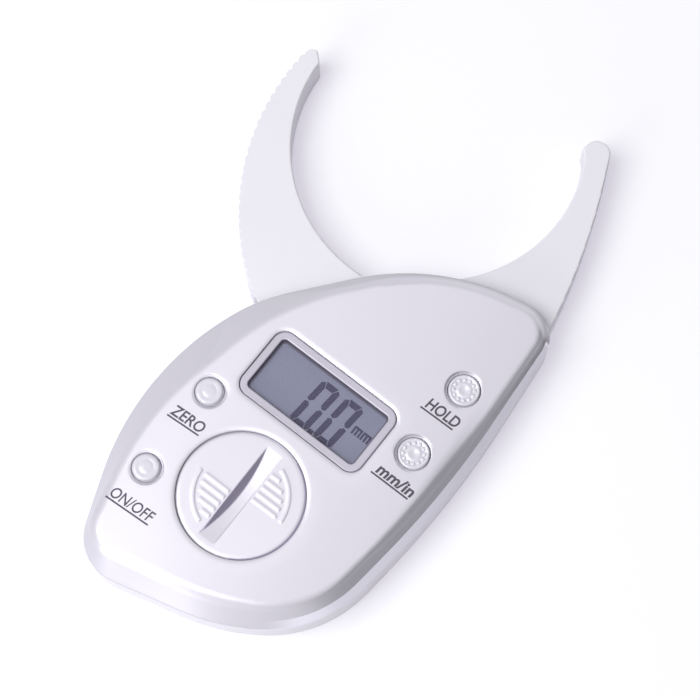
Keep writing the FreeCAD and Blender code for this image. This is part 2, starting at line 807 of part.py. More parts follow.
def moving_jaw():
    body = new_body("moving_jaw")
    pad(body, crescent_outline(), "jaw_lift", JAW_TOP)
    round_edges(body, "jaw_edge", edges_at(JAW_TOP, is_smooth_edge))
    cut(body, [disc(0, 0, "step_radius")], "0", HUB_BOTTOM)
    pad(body, [disc(0, 0, "hub_radius")], HUB_BOTTOM, JAW_TOP)
    cut(body, [disc(0, 0, BUSH_OUTSIDE + " + fit_clearance")], HUB_BOTTOM, JAW_TOP)
    cut(body, [disc(0, 0, "washer_radius + screw_clearance")], WASHER_SEAT, JAW_TOP)
    groove = [disc(0, 0, "groove_inner"), disc(0, 0, "groove_outer")]
    cut(body, groove, HUB_BOTTOM, GROOVE_TOP)
    inner_end = value("spring_radius")
    strip = value("spring_strip")
    pad(body, spring_stop(value("groove_inner") - strip, inner_end + strip / 2, 0.0),
        HUB_BOTTOM, GROOVE_TOP)
    wall = value("jaw_wall")
    pad_bottom = polar(value("pad_inner"), moving_pad_angle())
    inner_centre = centre_between(pad_bottom, Vector(*JAW_INNER_ROOT, 0), JAW_INNER_RADIUS)
    cells = core_cells(JAW_EYE, JAW_CORES, (inner_centre, JAW_INNER_RADIUS + wall),
                       (outer_centre(), JAW_OUTER_RADIUS - value("scallop_depth") - wall))
    for cell in cells:
        cut(body, cell, "0", JAW_TOP + " - jaw_skin")
    return body


def pivot_bush():
    body = new_body("pivot_bush")
    bore = "post_radius + running_clearance"
    turned(body, [
        (bore, HUB_BOTTOM),
        (BUSH_OUTSIDE, HUB_BOTTOM),
        (BUSH_OUTSIDE, WASHER_SEAT),
        (bore, WASHER_SEAT),
    ])
    return body


def pivot_washer():
    body = new_body("pivot_washer")
    bore = "pivot_shank_radius + screw_clearance"
    top = POST_TOP + " + washer_thickness"
    turned(body, [(bore, POST_TOP), ("washer_radius", POST_TOP), ("washer_radius", top), (bore, top)])
    return body


def pivot_screw():
    body = new_body("pivot_screw")
    seat = POST_TOP + " + washer_thickness"
    top = seat + " + pivot_head_height"
    turned(body, [
        ("0", "floor_thickness"),
        ("pivot_shank_radius", "floor_thickness"),
        ("pivot_shank_radius", seat),
        ("pivot_head_radius", seat),
        ("pivot_head_radius", top + " - 0.3"),
        ("pivot_head_radius - 0.3", top),
        ("0", top),
    ])
    cross_recess(body, [(0.0, 0.0)], "pivot_head_radius", top + " - recess_depth", top)
    return body


def cross_recess(body, places, head, bottom, top):
    """Two crossed slots in a screw's head, seen from above."""
    arm = value(head) * 1.2
    width = value("recess_width")
    for x, y in places:
        for size_x, size_y in ((arm, width), (width, arm)):
            cut(body, rounded_rectangle(x, y, size_x, size_y, 0.0), bottom, top)


def spring_stop(inner, outer, angle):
    """A block in the hub's groove that an end of the spring bears on."""
    start, end = SPRING_STOP
    if angle:
        start, end = -end, -start
    return ring_sector(inner, outer, angle + start, angle + end)


def return_spring():
    """Flat spiral of half turns; its ends bear on a stop of the hub and one of the case."""
    body = new_body("return_spring")
    step = value("spring_step")
    half = value("spring_strip") / 2
    outline = []
    for side in (-half, half):
        for i in range(SPRING_HALVES):
            radius = value("spring_radius") + i * step + side
            centre = (step * (i % 2), 0.0)
            start = 180.0 * (i % 2)
            outline.append(arc_about(centre, radius, start, start - 180.0))
    last = value("spring_radius") + (SPRING_HALVES - 1) * step
    for radius, heading in ((value("spring_radius"), 1), (last, -1)):
        outline.append(line(Vector(heading * (radius - half), 0, 0), Vector(heading * (radius + half), 0, 0)))
    pad(body, outline, "floor_thickness + spring_clearance", GROOVE_TOP + " - spring_clearance")
    return body


def jaw_scale():
    body = new_body("jaw_scale")
    pad(body, [disc(0, 0, "scale_inner"), disc(0, 0, "scale_outer")], JAW_TOP, SCALE_TOP)
    return body


# ---------------------------------------------------------------- electronics


def circuit_board():
    body = new_body("circuit_board")
    pad(body, rounded_outline(CASE_CORNERS, value("board_inset")), BOARD_BOTTOM, BOARD_TOP)
    cut(body, [disc(x, y, "case_boss + hole_clearance") for x, y in CASE_SCREWS], BOARD_BOTTOM, BOARD_TOP)
    cut(body, [disc(x, y, "board_screw_radius + screw_clearance") for x, y in BOARD_SCREWS],
        BOARD_BOTTOM, BOARD_TOP)
    return body


def board_chip():
    """Bonded display chip under its blob of resin."""
    body = new_body("board_chip")
    top = BOARD_TOP + " + chip_height"
    turned(body, [
        ("0", BOARD_TOP),
        ("chip_radius", BOARD_TOP),
        ("chip_radius - 0.4", BOARD_TOP + " + 0.5"),
        ("chip_radius - 1.6", top),
        ("0", top),
    ])
    stand_at(body, "display_x", "display_y")
    return body


def board_parts():
    body = new_body("board_parts")
    for x, y, length, width, height in BOARD_PARTS:
        pad(body, rounded_rectangle(x, y, length, width, 0.1), BOARD_TOP, BOARD_TOP + " + %s" % height)
    return body


def lcd_strips():
    """Rubber contact strips between the board and the glass."""
    body = new_body("lcd_strips")
    spin = Rotation(Vector(0, 0, 1), value("display_turn"))
    reach = value("bezel_width") / 2 - value("bezel_frame + strip_width") + value("panel_margin") / 2
    for side in (1, -1):
        place = spin.multVec(Vector(0, side * reach, 0))
        outline = rounded_rectangle(
            value("display_x") + place.x, value("display_y") + place.y,
            value("bezel_length") - value("2 * bezel_frame") - 1.0, value("strip_width"), 0.1,
            value("display_turn"))
        pad(body, outline, BOARD_TOP, PANEL_BOTTOM)
    return body


def lcd_panel():
    body = new_body("lcd_panel")
    pad(body, window_outline(value("2 * panel_margin")), PANEL_BOTTOM, PANEL_TOP)
    return body


def lcd_frame():
    """Moulded frame that locates the glass and its strips over the board."""
    body = new_body("lcd_frame")
    inner = window_outline(value("2 * panel_margin + 2 * lens_clearance"))
    outer = window_outline(value("2 * panel_margin + 2 * lens_clearance + 2 * frame_wall"))
    pad(body, outer + inner, BOARD_TOP, PANEL_TOP)
    return body


def display_bezel():
    body = new_body("display_bezel")
    top = BEZEL_SEAT + " + bezel_height"
    pad(body, display_outline(0.0) + window_outline(0.0), BEZEL_SEAT, top)
    cut(body, window_outline(value("2 * lens_margin + 2 * lens_clearance")), BEZEL_SEAT,
        BEZEL_SEAT + " + lens_thickness + lens_clearance")
    round_edges(body, "bezel_edge", edges_at(top))
    return body


def display_lens():
    body = new_body("display_lens")
    pad(body, window_outline(value("2 * lens_margin")), BEZEL_SEAT, BEZEL_SEAT + " + lens_thickness")
    return body


# ---------------------------------------------------------------- battery


def battery_door():
    body = new_body("battery_door")
    top = DOOR_SEAT + " + door_thickness"
    turned(body, [
        ("0", DOOR_SEAT + " + door_relief"),
        (SKIRT_RADIUS + " - skirt_wall", DOOR_SEAT + " + door_relief"),
        (SKIRT_RADIUS + " - skirt_wall", SKIRT_BOTTOM),
        (SKIRT_RADIUS, SKIRT_BOTTOM),
        (SKIRT_RADIUS, DOOR_SEAT),
        (DOOR_RADIUS, DOOR_SEAT),
        (DOOR_RADIUS, top + " - door_edge"),
        (DOOR_RADIUS + " - door_edge", top),
        ("0", top),
    ])
    for side in (0, 180):
        half = value("lug_angle") / 2
        lug = ring_sector(value(SKIRT_RADIUS) - value("skirt_wall") / 2, value(SKIRT_RADIUS + " + lug_reach"),
                          side - half, side + half)
        pad(body, lug, SKIRT_BOTTOM, SKIRT_BOTTOM + " + lug_height")
    for side in (1, -1):
        for y in RIB_PLACES:
            inner = value("slot_width") / 2 + value("rib_gap")
            outer = math.sqrt(RIB_REACH ** 2 - y ** 2)
            middle = side * (inner + outer) / 2
            outline = rounded_rectangle(middle, side * y, outer - inner, value("rib_width"), 0.0)
            pad(body, outline, top, top + " + rib_height")
        start, end = RIM_TURN
        turn = 0 if side == 1 else 180
        rim = ring_sector(value("rim_radius"), value("rim_radius + rib_width"), turn + start, turn + end)
        pad(body, rim, top, top + " + rib_height")
    coin_slot(body, value(top))
    stand_at(body, "door_x", "door_y", "door_lean")
    return body


def coin_slot(body, top):
    """A slot scooped to the round of a coin, with one upright and one sloping side."""
    half = value("slot_length") / 2
    depth = value("slot_depth")
    radius = (half ** 2 + depth ** 2) / (2 * depth)
    left = Vector(-half, top, 0)
    right = Vector(half, top, 0)
    above = top + CLEAR_ABOVE
    outline = [
        Part.Arc(left, Vector(0, top - depth, 0), right),
        line(right, Vector(half, above, 0)),
        line(Vector(half, above, 0), Vector(-half, above, 0)),
        line(Vector(-half, above, 0), left),
    ]
    if radius < half:
        raise RuntimeError("the coin slot is deeper than a half coin")
    slot = body.newObject("PartDesign::Pocket", body.Label + "_coin_slot")
    slot.Profile = new_sketch(body, outline, "0", "YZ_Plane")
    slot.SideType = "Symmetric"
    bind(slot, "Length", "slot_width")
    edge = -value("slot_width") / 2
    rim = Vector(edge, top, 0)
    foot = Vector(edge, top - depth, 0)
    floor = Vector(edge + value("slot_slope"), top - depth, 0)
    slope = body.newObject("PartDesign::Pad", body.Label + "_slot_slope")
    slope.Profile = new_sketch(body, [line(rim, foot), line(foot, floor), line(floor, rim)], "0", "XZ_Plane")
    slope.SideType = "Symmetric"
    bind(slope, "Length", "slot_length")
    doc.recompute()


def coin_cell():
    body = new_body("coin_cell")
    turned(body, [
        ("0", CELL_BOTTOM),
        ("cell_radius - 1.3", CELL_BOTTOM),
        ("cell_radius - 1.1", CELL_BOTTOM + " + 0.25"),
        ("cell_radius - 0.3", CELL_BOTTOM + " + 0.25"),
        ("cell_radius", CELL_BOTTOM + " + 0.6"),
        ("cell_radius", CELL_TOP + " - 0.25"),
        ("cell_radius - 0.25", CELL_TOP),
        ("0", CELL_TOP),
    ])
    stand_at(body, "door_x", "door_y")
    return body


def negative_contact():
    body = new_body("negative_contact")
    plate = rounded_rectangle(0, 0, value("spring_plate_length"), value("spring_plate_width"), 1.0)
    pad(body, plate, BOARD_TOP, BOARD_TOP + " + contact_thickness")
    stand_at(body, "door_x", "door_y")
    return body


def positive_contact():
    """Foot on the board and a leaf that touches the rim of the cell."""
    body = new_body("positive_contact")
    leaf = value("cell_radius + running_clearance")
    thick = value("contact_thickness")
    width = value("contact_width")
    foot = value("contact_foot")
    pad(body, rounded_rectangle(leaf + foot / 2, 0, foot, width, 0.0), BOARD_TOP,
        BOARD_TOP + " + contact_thickness")
    upright = rounded_rectangle(leaf + thick / 2, 0, thick, width, 0.0)
    pad(body, upright, BOARD_TOP, SKIRT_BOTTOM + " - boss_gap")
    stand_at(body, "door_x", "door_y")
    return body


# ---------------------------------------------------------------- buttons


def button(name, x, y, radius):
    body = new_body("button_" + name)
    cap = value(radius)
    flange = cap + value("button_flange")
    far = max(abs(x - flange - value("crown_centre")), abs(x + flange - value("crown_centre")))
    shoulder = round(crown_height(value("crown_centre") + far, value("cover_wall")) - 0.08, 3)
    top = round(crown_height(x) + value("button_proud"), 3)
    flange_radius = radius + " + button_flange"
    underside = "%s - flange_thickness" % shoulder
    turned(body, [
        ("0", BOARD_TOP + " + dome_height + fit_clearance"),
        ("stem_radius", BOARD_TOP + " + dome_height + fit_clearance"),
        ("stem_radius", underside),
        (flange_radius, underside),
        (flange_radius, shoulder),
        (radius, shoulder),
        (radius, "%s - 0.35" % top),
        (radius + " - 0.3", top),
        (radius + " - 1.1", top),
        (radius + " - 1.3", "%s - 0.2" % top),
        (radius + " - 1.7", "%s - 0.2" % top),
        (radius + " - 1.9", "%s - 0.05" % top),
        ("0.5", "%s - 0.05" % top),
        ("0", "%s - 0.3" % top),
    ])
    stand_at(body, x, y)
    return body


def switch_dome(name, x, y):
    """Snap dome under a button."""
    body = new_body("dome_" + name)
    turned(body, [
        ("0", BOARD_TOP),
        ("dome_radius", BOARD_TOP),
        ("dome_radius - 0.5", BOARD_TOP + " + 0.6 * dome_height"),
        ("dome_radius - 1.2", BOARD_TOP + " + dome_height"),
        ("0", BOARD_TOP + " + dome_height"),
    ])
    stand_at(body, x, y)
    return body


# ---------------------------------------------------------------- screws


def case_screws():
    """Four self-tapping screws driven from the back into the cover's bosses."""
    body = new_body("case_screws")
    seat = "counterbore_depth"
    pad(body, [disc(x, y, "case_head_radius") for x, y in CASE_SCREWS], seat + " - case_head_height", seat)
    pad(body, [disc(x, y, "case_screw_radius") for x, y in CASE_SCREWS], seat,
        "case_height + case_screw_bite")
    cross_recess(body, CASE_SCREWS, "case_head_radius", seat + " - case_head_height",
                 seat + " - case_head_height + recess_depth")
    return body


def board_screws():
    """Screws that hang the board from the cover's bosses."""
    body = new_body("board_screws")
    pad(body, [disc(x, y, "board_head_radius") for x, y in BOARD_SCREWS],
        BOARD_BOTTOM + " - board_head_height", BOARD_BOTTOM)
    pad(body, [disc(x, y, "board_screw_radius") for x, y in BOARD_SCREWS],
        BOARD_BOTTOM, BOARD_TOP + " + board_screw_bite")
    return body


# ---------------------------------------------------------------- build


def build():
    lower_housing()
    top_cover()
    moving_jaw()
    pivot_bush()
    pivot_washer()
    pivot_screw()
    return_spring()
    jaw_scale()
    circuit_board()
    board_chip()
    board_parts()
    lcd_strips()
    lcd_panel()
    lcd_frame()
    display_bezel()
    display_lens()
    battery_door()
    coin_cell()
    negative_contact()
    positive_contact()
    for name, x, y, radius in BUTTONS:
        button(name, x, y, radius)
        switch_dome(name, x, y)
    case_screws()
    board_screws()


def write_pieces():
    doc.recompute()
    for thing in doc.Objects:
        if "Invalid" in thing.State or "Error" in thing.State:
            raise RuntimeError("%s failed: %s" % (thing.Name, thing.State))
    os.makedirs("parts", exist_ok=True)
    for piece in pieces:
        shape = piece.Shape
        if shape.isNull() or not shape.isValid() or not shape.Solids:
            raise RuntimeError("%s has no valid shape" % piece.Label)
        shape.exportStep("parts/%s.step" % piece.Label)


build()
write_pieces()
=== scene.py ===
"""Digital skinfold caliper: finishes, keys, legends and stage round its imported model."""

import math

import bmesh
import bpy
from bpy.props import FloatProperty, FloatVectorProperty, IntProperty, PointerProperty
from mathutils import Matrix, Vector


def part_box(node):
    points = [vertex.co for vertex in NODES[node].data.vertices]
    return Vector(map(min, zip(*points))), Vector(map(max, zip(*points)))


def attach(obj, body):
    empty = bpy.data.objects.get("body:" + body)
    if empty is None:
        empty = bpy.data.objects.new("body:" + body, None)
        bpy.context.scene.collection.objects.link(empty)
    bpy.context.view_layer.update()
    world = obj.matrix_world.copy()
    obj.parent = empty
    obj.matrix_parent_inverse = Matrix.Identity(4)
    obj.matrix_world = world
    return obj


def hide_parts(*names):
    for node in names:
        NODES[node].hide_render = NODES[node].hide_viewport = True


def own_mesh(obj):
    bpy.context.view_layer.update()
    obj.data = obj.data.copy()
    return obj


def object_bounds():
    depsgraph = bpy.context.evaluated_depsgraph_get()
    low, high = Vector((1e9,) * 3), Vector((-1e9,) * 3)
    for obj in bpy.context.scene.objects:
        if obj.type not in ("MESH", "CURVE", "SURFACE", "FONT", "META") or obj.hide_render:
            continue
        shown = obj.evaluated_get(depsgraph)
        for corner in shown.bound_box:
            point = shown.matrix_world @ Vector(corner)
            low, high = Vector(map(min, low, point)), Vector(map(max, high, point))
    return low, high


bl_info = {
    "name": "Skinfold Caliper",
    "version": (1, 0, 0),
    "blender": (4, 5, 0),
    "location": "3D View > Sidebar > Caliper",
    "description": "Dresses the packed skinfold caliper and sets its stage",
    "category": "Object",
}

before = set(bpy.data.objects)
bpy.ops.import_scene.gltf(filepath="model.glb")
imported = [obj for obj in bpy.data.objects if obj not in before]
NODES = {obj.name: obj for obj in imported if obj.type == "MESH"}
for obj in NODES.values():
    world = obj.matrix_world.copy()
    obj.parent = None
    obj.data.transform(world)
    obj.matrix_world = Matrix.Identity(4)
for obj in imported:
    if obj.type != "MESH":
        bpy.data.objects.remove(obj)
CAD_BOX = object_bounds()

MM = 0.001
CASE = "case"
UP = (0.0, 0.0, 1.0)
RIGHT = (1.0, 0.0, 0.0)
JAWWARD = (0.0, 1.0, 0.0)
MERGE_DISTANCE = 0.0005 * MM

# Crown of the top cover, across the case.
CROWN_RADIUS = 260.0 * MM
CROWN_CENTRE = -2.0 * MM
COVER_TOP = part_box("top_cover")[1].z

# Display, turned a little on the case.
DISPLAY_CENTRE = Vector((1.0 * MM, -17.0 * MM, 0.0))
DISPLAY_TURN = math.radians(-3.0)
WINDOW_LENGTH = 27.0 * MM
WINDOW_WIDTH = 12.4 * MM
WINDOW_CORNER = 1.0 * MM
BEZEL_BORDER = 1.8 * MM
LENS_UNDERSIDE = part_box("display_lens")[0].z
FILM_THICKNESS = 0.06 * MM
FILM_MARGIN = 0.4 * MM  # added to the window's length and width
FILM_TOP = LENS_UNDERSIDE - 0.05 * MM

# The reading, two noughts with a point between them, stands a hair above the film.
READING_BOTTOM = FILM_TOP + 0.002 * MM
READING_TOP = FILM_TOP + 0.02 * MM
READING_FOOT = Vector((-1.88 * MM, -23.19 * MM))
DIGITS = 2
NOUGHT = "abcdef"  # its strokes, of the seven that a digit has
POINT_SIDE = 0.85  # as a share of a stroke's thickness
POINT_GAP = 0.05 * MM
# Strokes: the space where two meet, their cut corners as a share of the thickness, and how far
# the corners of an upright's inner end lie from the middle of the digit.
STROKE_GAP = 0.12 * MM
STROKE_CORNER = 0.55
STROKE_END = (0.35 * MM, 0.1 * MM, 0.75 * MM)
# The unit after the digits: two letters m, each three uprights under a bar.
UNIT_FOOT = (9.85 * MM, -17.75 * MM)
UNIT_WIDTH = 1.98 * MM
UNIT_HEIGHT = 1.85 * MM
UNIT_BAR = 0.46 * MM
UNIT_GAP = 0.2 * MM

# Legends: key, words, middle of the underline, its length, its turn in degrees, added weight
# of the letters, length of the words and their shift along the underline. The lengths are in
# millimetres.
LEGENDS = (
    ("zero", "ZERO", (-18.26, -36.47), 7.8, 0.0, 0.06, 7.8, 0.15),
    ("on_off", "ON/OFF", (-17.12, -56.88), 10.45, 0.0, 0.04, 10.15, 0.25),
    ("hold", "HOLD", (22.36, -6.10), 7.9, -1.0, 0.075, 7.7, 0.52),
    ("unit", "mm/in", (22.41, -22.78), 9.1, -1.9, 0.10, 8.8, 0.5),
)
LEGEND_LIFT = 0.012 * MM  # above the crowned top
RULE_STEPS = 12
CAPITAL_SHARE = 0.7  # height of a capital over the size of its type

# Keys: width of a packed key's flange outside its hole, the distance outside the hole from
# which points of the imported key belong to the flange, and the radius below which a hole is small.
KEYS = ("zero", "on_off", "hold", "unit")
FLANGE_WIDTH = 0.8 * MM
FLANGE_SEARCH = 0.4 * MM
SMALL_HOLE = 3.0 * MM
FLANGE_THICKNESS = 0.6 * MM
STEM_RADIUS = 1.2 * MM
# Caps: space round a small and a large one, and depths below the top of the collar, of the
# cap's foot and of the edge where its crown starts.
SMALL_GAP = 0.22 * MM
LARGE_GAP = 0.06 * MM
COLLAR_DEPTH = 0.66 * MM
FOOT_DEPTH = 0.62 * MM
CROWN_DEPTH = 0.36 * MM
CAP_STEPS = 64
# The rolled edge of a small cap.
ROLL_REACH = 0.5 * MM
ROLL_RISE = 0.3 * MM
ROLL_STEPS = 8
# Profiles of a cap's crown from its edge to its middle: share of the radius, distance in from
# there, and depth below the top; both in millimetres. A small cap has a plain dome, and a large
# one a groove for bumps round a dimpled dome.
SMALL_CROWN = (
    (0.62, 0.0, 0.07), (0.54, 0.0, 0.12), (0.47, 0.0, 0.05), (0.22, 0.0, 0.005), (0.0, 0.0, 0.0),
)
LARGE_CROWN = (
    (1.0, 0.07, 0.16), (1.0, 0.2, 0.05), (1.0, 0.38, 0.02), (1.0, 0.55, 0.10), (1.0, 0.72, 0.20),
    (0.52, 0.0, 0.22), (0.46, 0.0, 0.10), (0.38, 0.0, 0.04), (0.28, 0.0, 0.10), (0.16, 0.0, 0.24),
    (0.0, 0.0, 0.30),
)
# The ring of bumps, and how flat each bump is.
RING_RADIUS = 0.67  # as a share of the cap's radius
RING_DEPTH = 0.22 * MM
BUMP_FLATNESS = 0.5

# The large soft light shines from this way.
LIGHT_SIDE = Vector((-0.28, -0.40, 0.87))
LIGHT_DISTANCE = 1.2
LIGHT_SIZE = 0.8
# A softbox hangs over the object, a little to the left.
BOX_SIDE = Vector((-0.18, 0.22, 0.96))
BOX_DISTANCE = 1.1
BOX_SIZE = 0.9
# A low fill shines along the case from its battery end.
FILL_SIDE = Vector((-0.15, -0.93, 0.33))
FILL_DISTANCE = 0.8
FILL_SIZE = 0.4
# A dark card stands on the other side, and keeps light off the right-hand flanks.
CARD_SIDE = Vector((0.93, 0.22, 0.0))
CARD_DISTANCE = 0.5
CARD_WIDTH = 0.9
CARD_HEIGHT = 0.6
# The floor lies a hair below the model.
FLOOR_HALF = 3.0
FLOOR_GAP = 0.02 * MM
# Camera over the case, from the battery end and the right. The focal length and the width of
# the picture are given in pixels.
EYE = Vector((70.25 * MM, -104.57 * MM, 471.7 * MM))
AIM = Vector((-0.75 * MM, -3.27 * MM, 10.0 * MM))
SENSOR_WIDTH = 36.0
FOCAL_PIXELS = 2342.0
PICTURE_PIXELS = 700.0
NEAREST = 0.01

# The right flank folds at this height into a skirt, which painted light makes paler, and whose
# normals are turned down.
# Above the fold they are turned up, and more so towards the jaws, over the stretch SHOULDER_FADE.
SKIRT_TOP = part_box("top_cover")[0].z + 3.2 * MM
FOLD_HALF = 0.05 * MM
SKIRT_LIGHT = 1.45
SKIRT_DROP = -0.3
SHOULDER_LIFT = 0.4
SHOULDER_END = 0.75
SHOULDER_FADE = (-4.0 * MM, 20.0 * MM)
# The flank at the battery end is lifted in full on the right of the stretch NEAR_FADE, and by
# the share NEAR_SHARE of it on the left. The flank at the jaws is lifted all along.
NEAR_LIFT = 0.5
NEAR_SHARE = 0.42
NEAR_FADE = (-16.0 * MM, 12.0 * MM)
FAR_LIFT = 2.0
# How far a surface faces a flank's way where that flank's shading starts, and where it is full.
RIGHT_FACING = (0.48, 0.7)
NEAR_FACING = (0.3, 0.7)
FAR_FACING = (0.2, 0.5)
TOP_FACING = (0.7, 0.95)
# Right edge of the case, a long arc, along which the top already leans outwards. The lean
# grows from LEAN_START to LEAN_END inside the arc, and fades along the case over LEAN_FADE.
EDGE_CENTRE = (-168.0 * MM, -14.0 * MM)
EDGE_RADIUS = 201.5 * MM
LEAN_START = 6.6 * MM
LEAN_END = 3.6 * MM
LEAN = 0.42
LEAN_FADE = (-18.0 * MM, 4.0 * MM)

# Lips round the cover's openings: paint rounds their edges, and lifts the normals as far out
# as LIP_REACH. The painted shade on the window's wall ends within WELL_EDGE of the window.
EDGE_ROUNDING = 0.6 * MM
LIP_ROUNDING = 1.6 * MM
LIP_REACH = 3.2 * MM
LIP_FADE = 1.0 * MM
LIP_LIFT = 0.9
WELL_EDGE = (0.4 * MM, 0.5 * MM)

# Battery door: its rim is rounder than its grips, which paint fills in part on both sides of
# the slot, and painted shade darkens one side of the slot. The rim's rounding grows between the
# first two depths in from the edge, and its lift between the last two.
DOOR_CENTRE = (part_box("battery_door")[0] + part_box("battery_door")[1]) / 2
DOOR_RADIUS = (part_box("battery_door")[1].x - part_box("battery_door")[0].x) / 2
RIM_DEPTHS = (2.2 * MM, 1.6 * MM, 1.2 * MM)
RIM_ROUNDING = 1.3 * MM
RIM_LIFT = 0.4
GRIP_RADIUS = 10.3 * MM
GRIP_FADE = 0.3 * MM
GRIP_ROUNDING = 0.55 * MM
GRIP_FILLING = 0.68
SLOT_HALF = 2.0 * MM
SLOT_FACING = 0.3
SLOT_SHADE = 0.7

# Noise of the paint's surface and of tool marks, in bumps per metre, and how rough all noise is.
PAINT_GRAIN = 14000.0
PAINT_GRAIN_HEIGHT = 0.002 * MM
TOOL_MARKS = 3000.0
NOISE_ROUGHNESS = 0.55

# Colours of the works and the card.
ZINC = (0.62, 0.62, 0.65, 1.0)
STRIP_STEEL = (0.48, 0.49, 0.52, 1.0)
STRIP_ROUGHNESS = 0.26
NICKEL = (0.66, 0.64, 0.58, 1.0)
BRASS = (0.72, 0.52, 0.22, 1.0)
CELL_CAN = (0.64, 0.64, 0.66, 1.0)
SOLDER_MASK = (0.03, 0.16, 0.06, 1.0)
CHIP_RESIN = (0.018, 0.018, 0.02, 1.0)
STRIP_RUBBER = (0.05, 0.05, 0.06, 1.0)
FRAME_PLASTIC = (0.75, 0.75, 0.72, 1.0)
CARD_FELT = (0.02, 0.02, 0.02, 1.0)
# Shares of red, green and blue that make a shade a little violet.
VIOLET = (1.0, 0.94, 1.1)


# ---------------------------------------------------------------- settings


class CaliperFinish(bpy.types.PropertyGroup):
    """Colours and gloss of the caliper's finishes."""

    paint: FloatVectorProperty(
        name="Silver paint", description="Paint of the cover and the battery door",
        subtype="COLOR", size=4, min=0.0, max=1.0, default=(0.618, 0.60, 0.674, 1.0))
    paint_shine: FloatProperty(
        name="Paint roughness", description="Roughness of the silver paint",
        default=0.34, min=0.0, max=1.0, subtype="FACTOR")
    plastic: FloatVectorProperty(
        name="Jaw plastic", description="Moulded plastic of the jaws and the lower housing",
        subtype="COLOR", size=4, min=0.0, max=1.0, default=(0.87, 0.855, 0.925, 1.0))
    bezel: FloatVectorProperty(
        name="Bezel", description="Warm silver of the display bezel",
        subtype="COLOR", size=4, min=0.0, max=1.0, default=(0.476, 0.454, 0.53, 1.0))
    # Painted shade: this dark colour stands for the shadow on the display window's walls and round
    # the display's edge.
    shade: FloatVectorProperty(
        name="Window wall", description="Dark wall inside the display window",
        subtype="COLOR", size=4, min=0.0, max=1.0, default=(0.085, 0.075, 0.11, 1.0))
    # The display also glows at this colour, as painted light.
    glass: FloatVectorProperty(
        name="Display", description="Grey of the unlit display",
        subtype="COLOR", size=4, min=0.0, max=1.0, default=(0.192, 0.197, 0.283, 1.0))
    stroke: FloatVectorProperty(
        name="Digits", description="Colour of the display's digits",
        subtype="COLOR", size=4, min=0.0, max=1.0, default=(0.028, 0.02, 0.08, 1.0))
    ink: FloatVectorProperty(
        name="Legends", description="Ink of the printed legends",
        subtype="COLOR", size=4, min=0.0, max=1.0, default=(0.075, 0.065, 0.095, 1.0))
    cap: FloatVectorProperty(
        name="Key caps", description="Clear pearly key caps",
        subtype="COLOR", size=4, min=0.0, max=1.0, default=(0.85, 0.83, 0.93, 1.0))


class CaliperSizes(bpy.types.PropertyGroup):
    """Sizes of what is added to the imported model, in metres."""

    letter_height: FloatProperty(
        name="Letter height", description="Height of the capitals of the legends",
        default=2.3 * MM, min=0.5 * MM, unit="LENGTH")
    letter_slant: FloatProperty(
        name="Letter slant", description="Lean of the legends' letters, as a share of their height",
        default=0.16, min=0.0, max=0.5)
    underline: FloatProperty(
        name="Underline", description="Thickness of the line under a legend",
        default=0.36 * MM, min=0.05 * MM, unit="LENGTH")
    underline_gap: FloatProperty(
        name="Underline gap", description="Space between a legend and its line",
        default=0.36 * MM, min=0.0, unit="LENGTH")
    digit_height: FloatProperty(
        name="Digit height", description="Height of the display's digits",
        default=10.9 * MM, min=1.0 * MM, unit="LENGTH")
    digit_width: FloatProperty(
        name="Digit width", description="Width of the display's digits",
        default=4.6 * MM, min=1.0 * MM, unit="LENGTH")
    digit_stroke: FloatProperty(
        name="Digit stroke", description="Thickness of the digits' strokes",
        default=1.36 * MM, min=0.1 * MM, unit="LENGTH")
    digit_pitch: FloatProperty(
        name="Digit pitch", description="Step from one digit to the next",
        default=5.95 * MM, min=1.0 * MM, unit="LENGTH")
    digit_slant: FloatProperty(
        name="Digit slant", description="Lean of the digits, as a share of their height",
        default=0.075, min=0.0, max=0.5)
    bumps: IntProperty(
        name="Bumps", description="Bumps round each key cap", default=12, min=3, max=40)
    bump_radius: FloatProperty(
        name="Bump radius", description="Radius of each bump on a key cap",
        default=0.42 * MM, min=0.05 * MM, unit="LENGTH")


class CaliperStage(bpy.types.PropertyGroup):
    """Floor, lights and camera."""

    key_light: FloatProperty(
        name="Key light", description="Power of the large soft light", default=9.1, min=0.0)
    soft_box: FloatProperty(
        name="Softbox", description="Power of the softbox overhead", default=1.0, min=0.0)
    fill_light: FloatProperty(
        name="Fill light", description="Power of the low fill light", default=1.7, min=0.0)
    sky: FloatProperty(
        name="Sky", description="Strength of the even light from all round", default=0.3, min=0.0)
    floor: FloatVectorProperty(
        name="Floor", description="Colour of the floor", subtype="COLOR", size=4,
        min=0.0, max=1.0, default=(0.62, 0.65, 0.59, 1.0))
    floor_bounce: FloatVectorProperty(
        name="Floor bounce", description="Colour of the floor as it lights the object's sides",
        subtype="COLOR", size=4, min=0.0, max=1.0, default=(0.78, 0.76, 0.815, 1.0))
    floor_glow: FloatVectorProperty(
        name="Floor glow", description="Light that the camera sees from the floor itself",
        subtype="COLOR", size=4, min=0.0, max=1.0, default=(0.43, 0.40, 0.495, 1.0))


# ---------------------------------------------------------------- materials


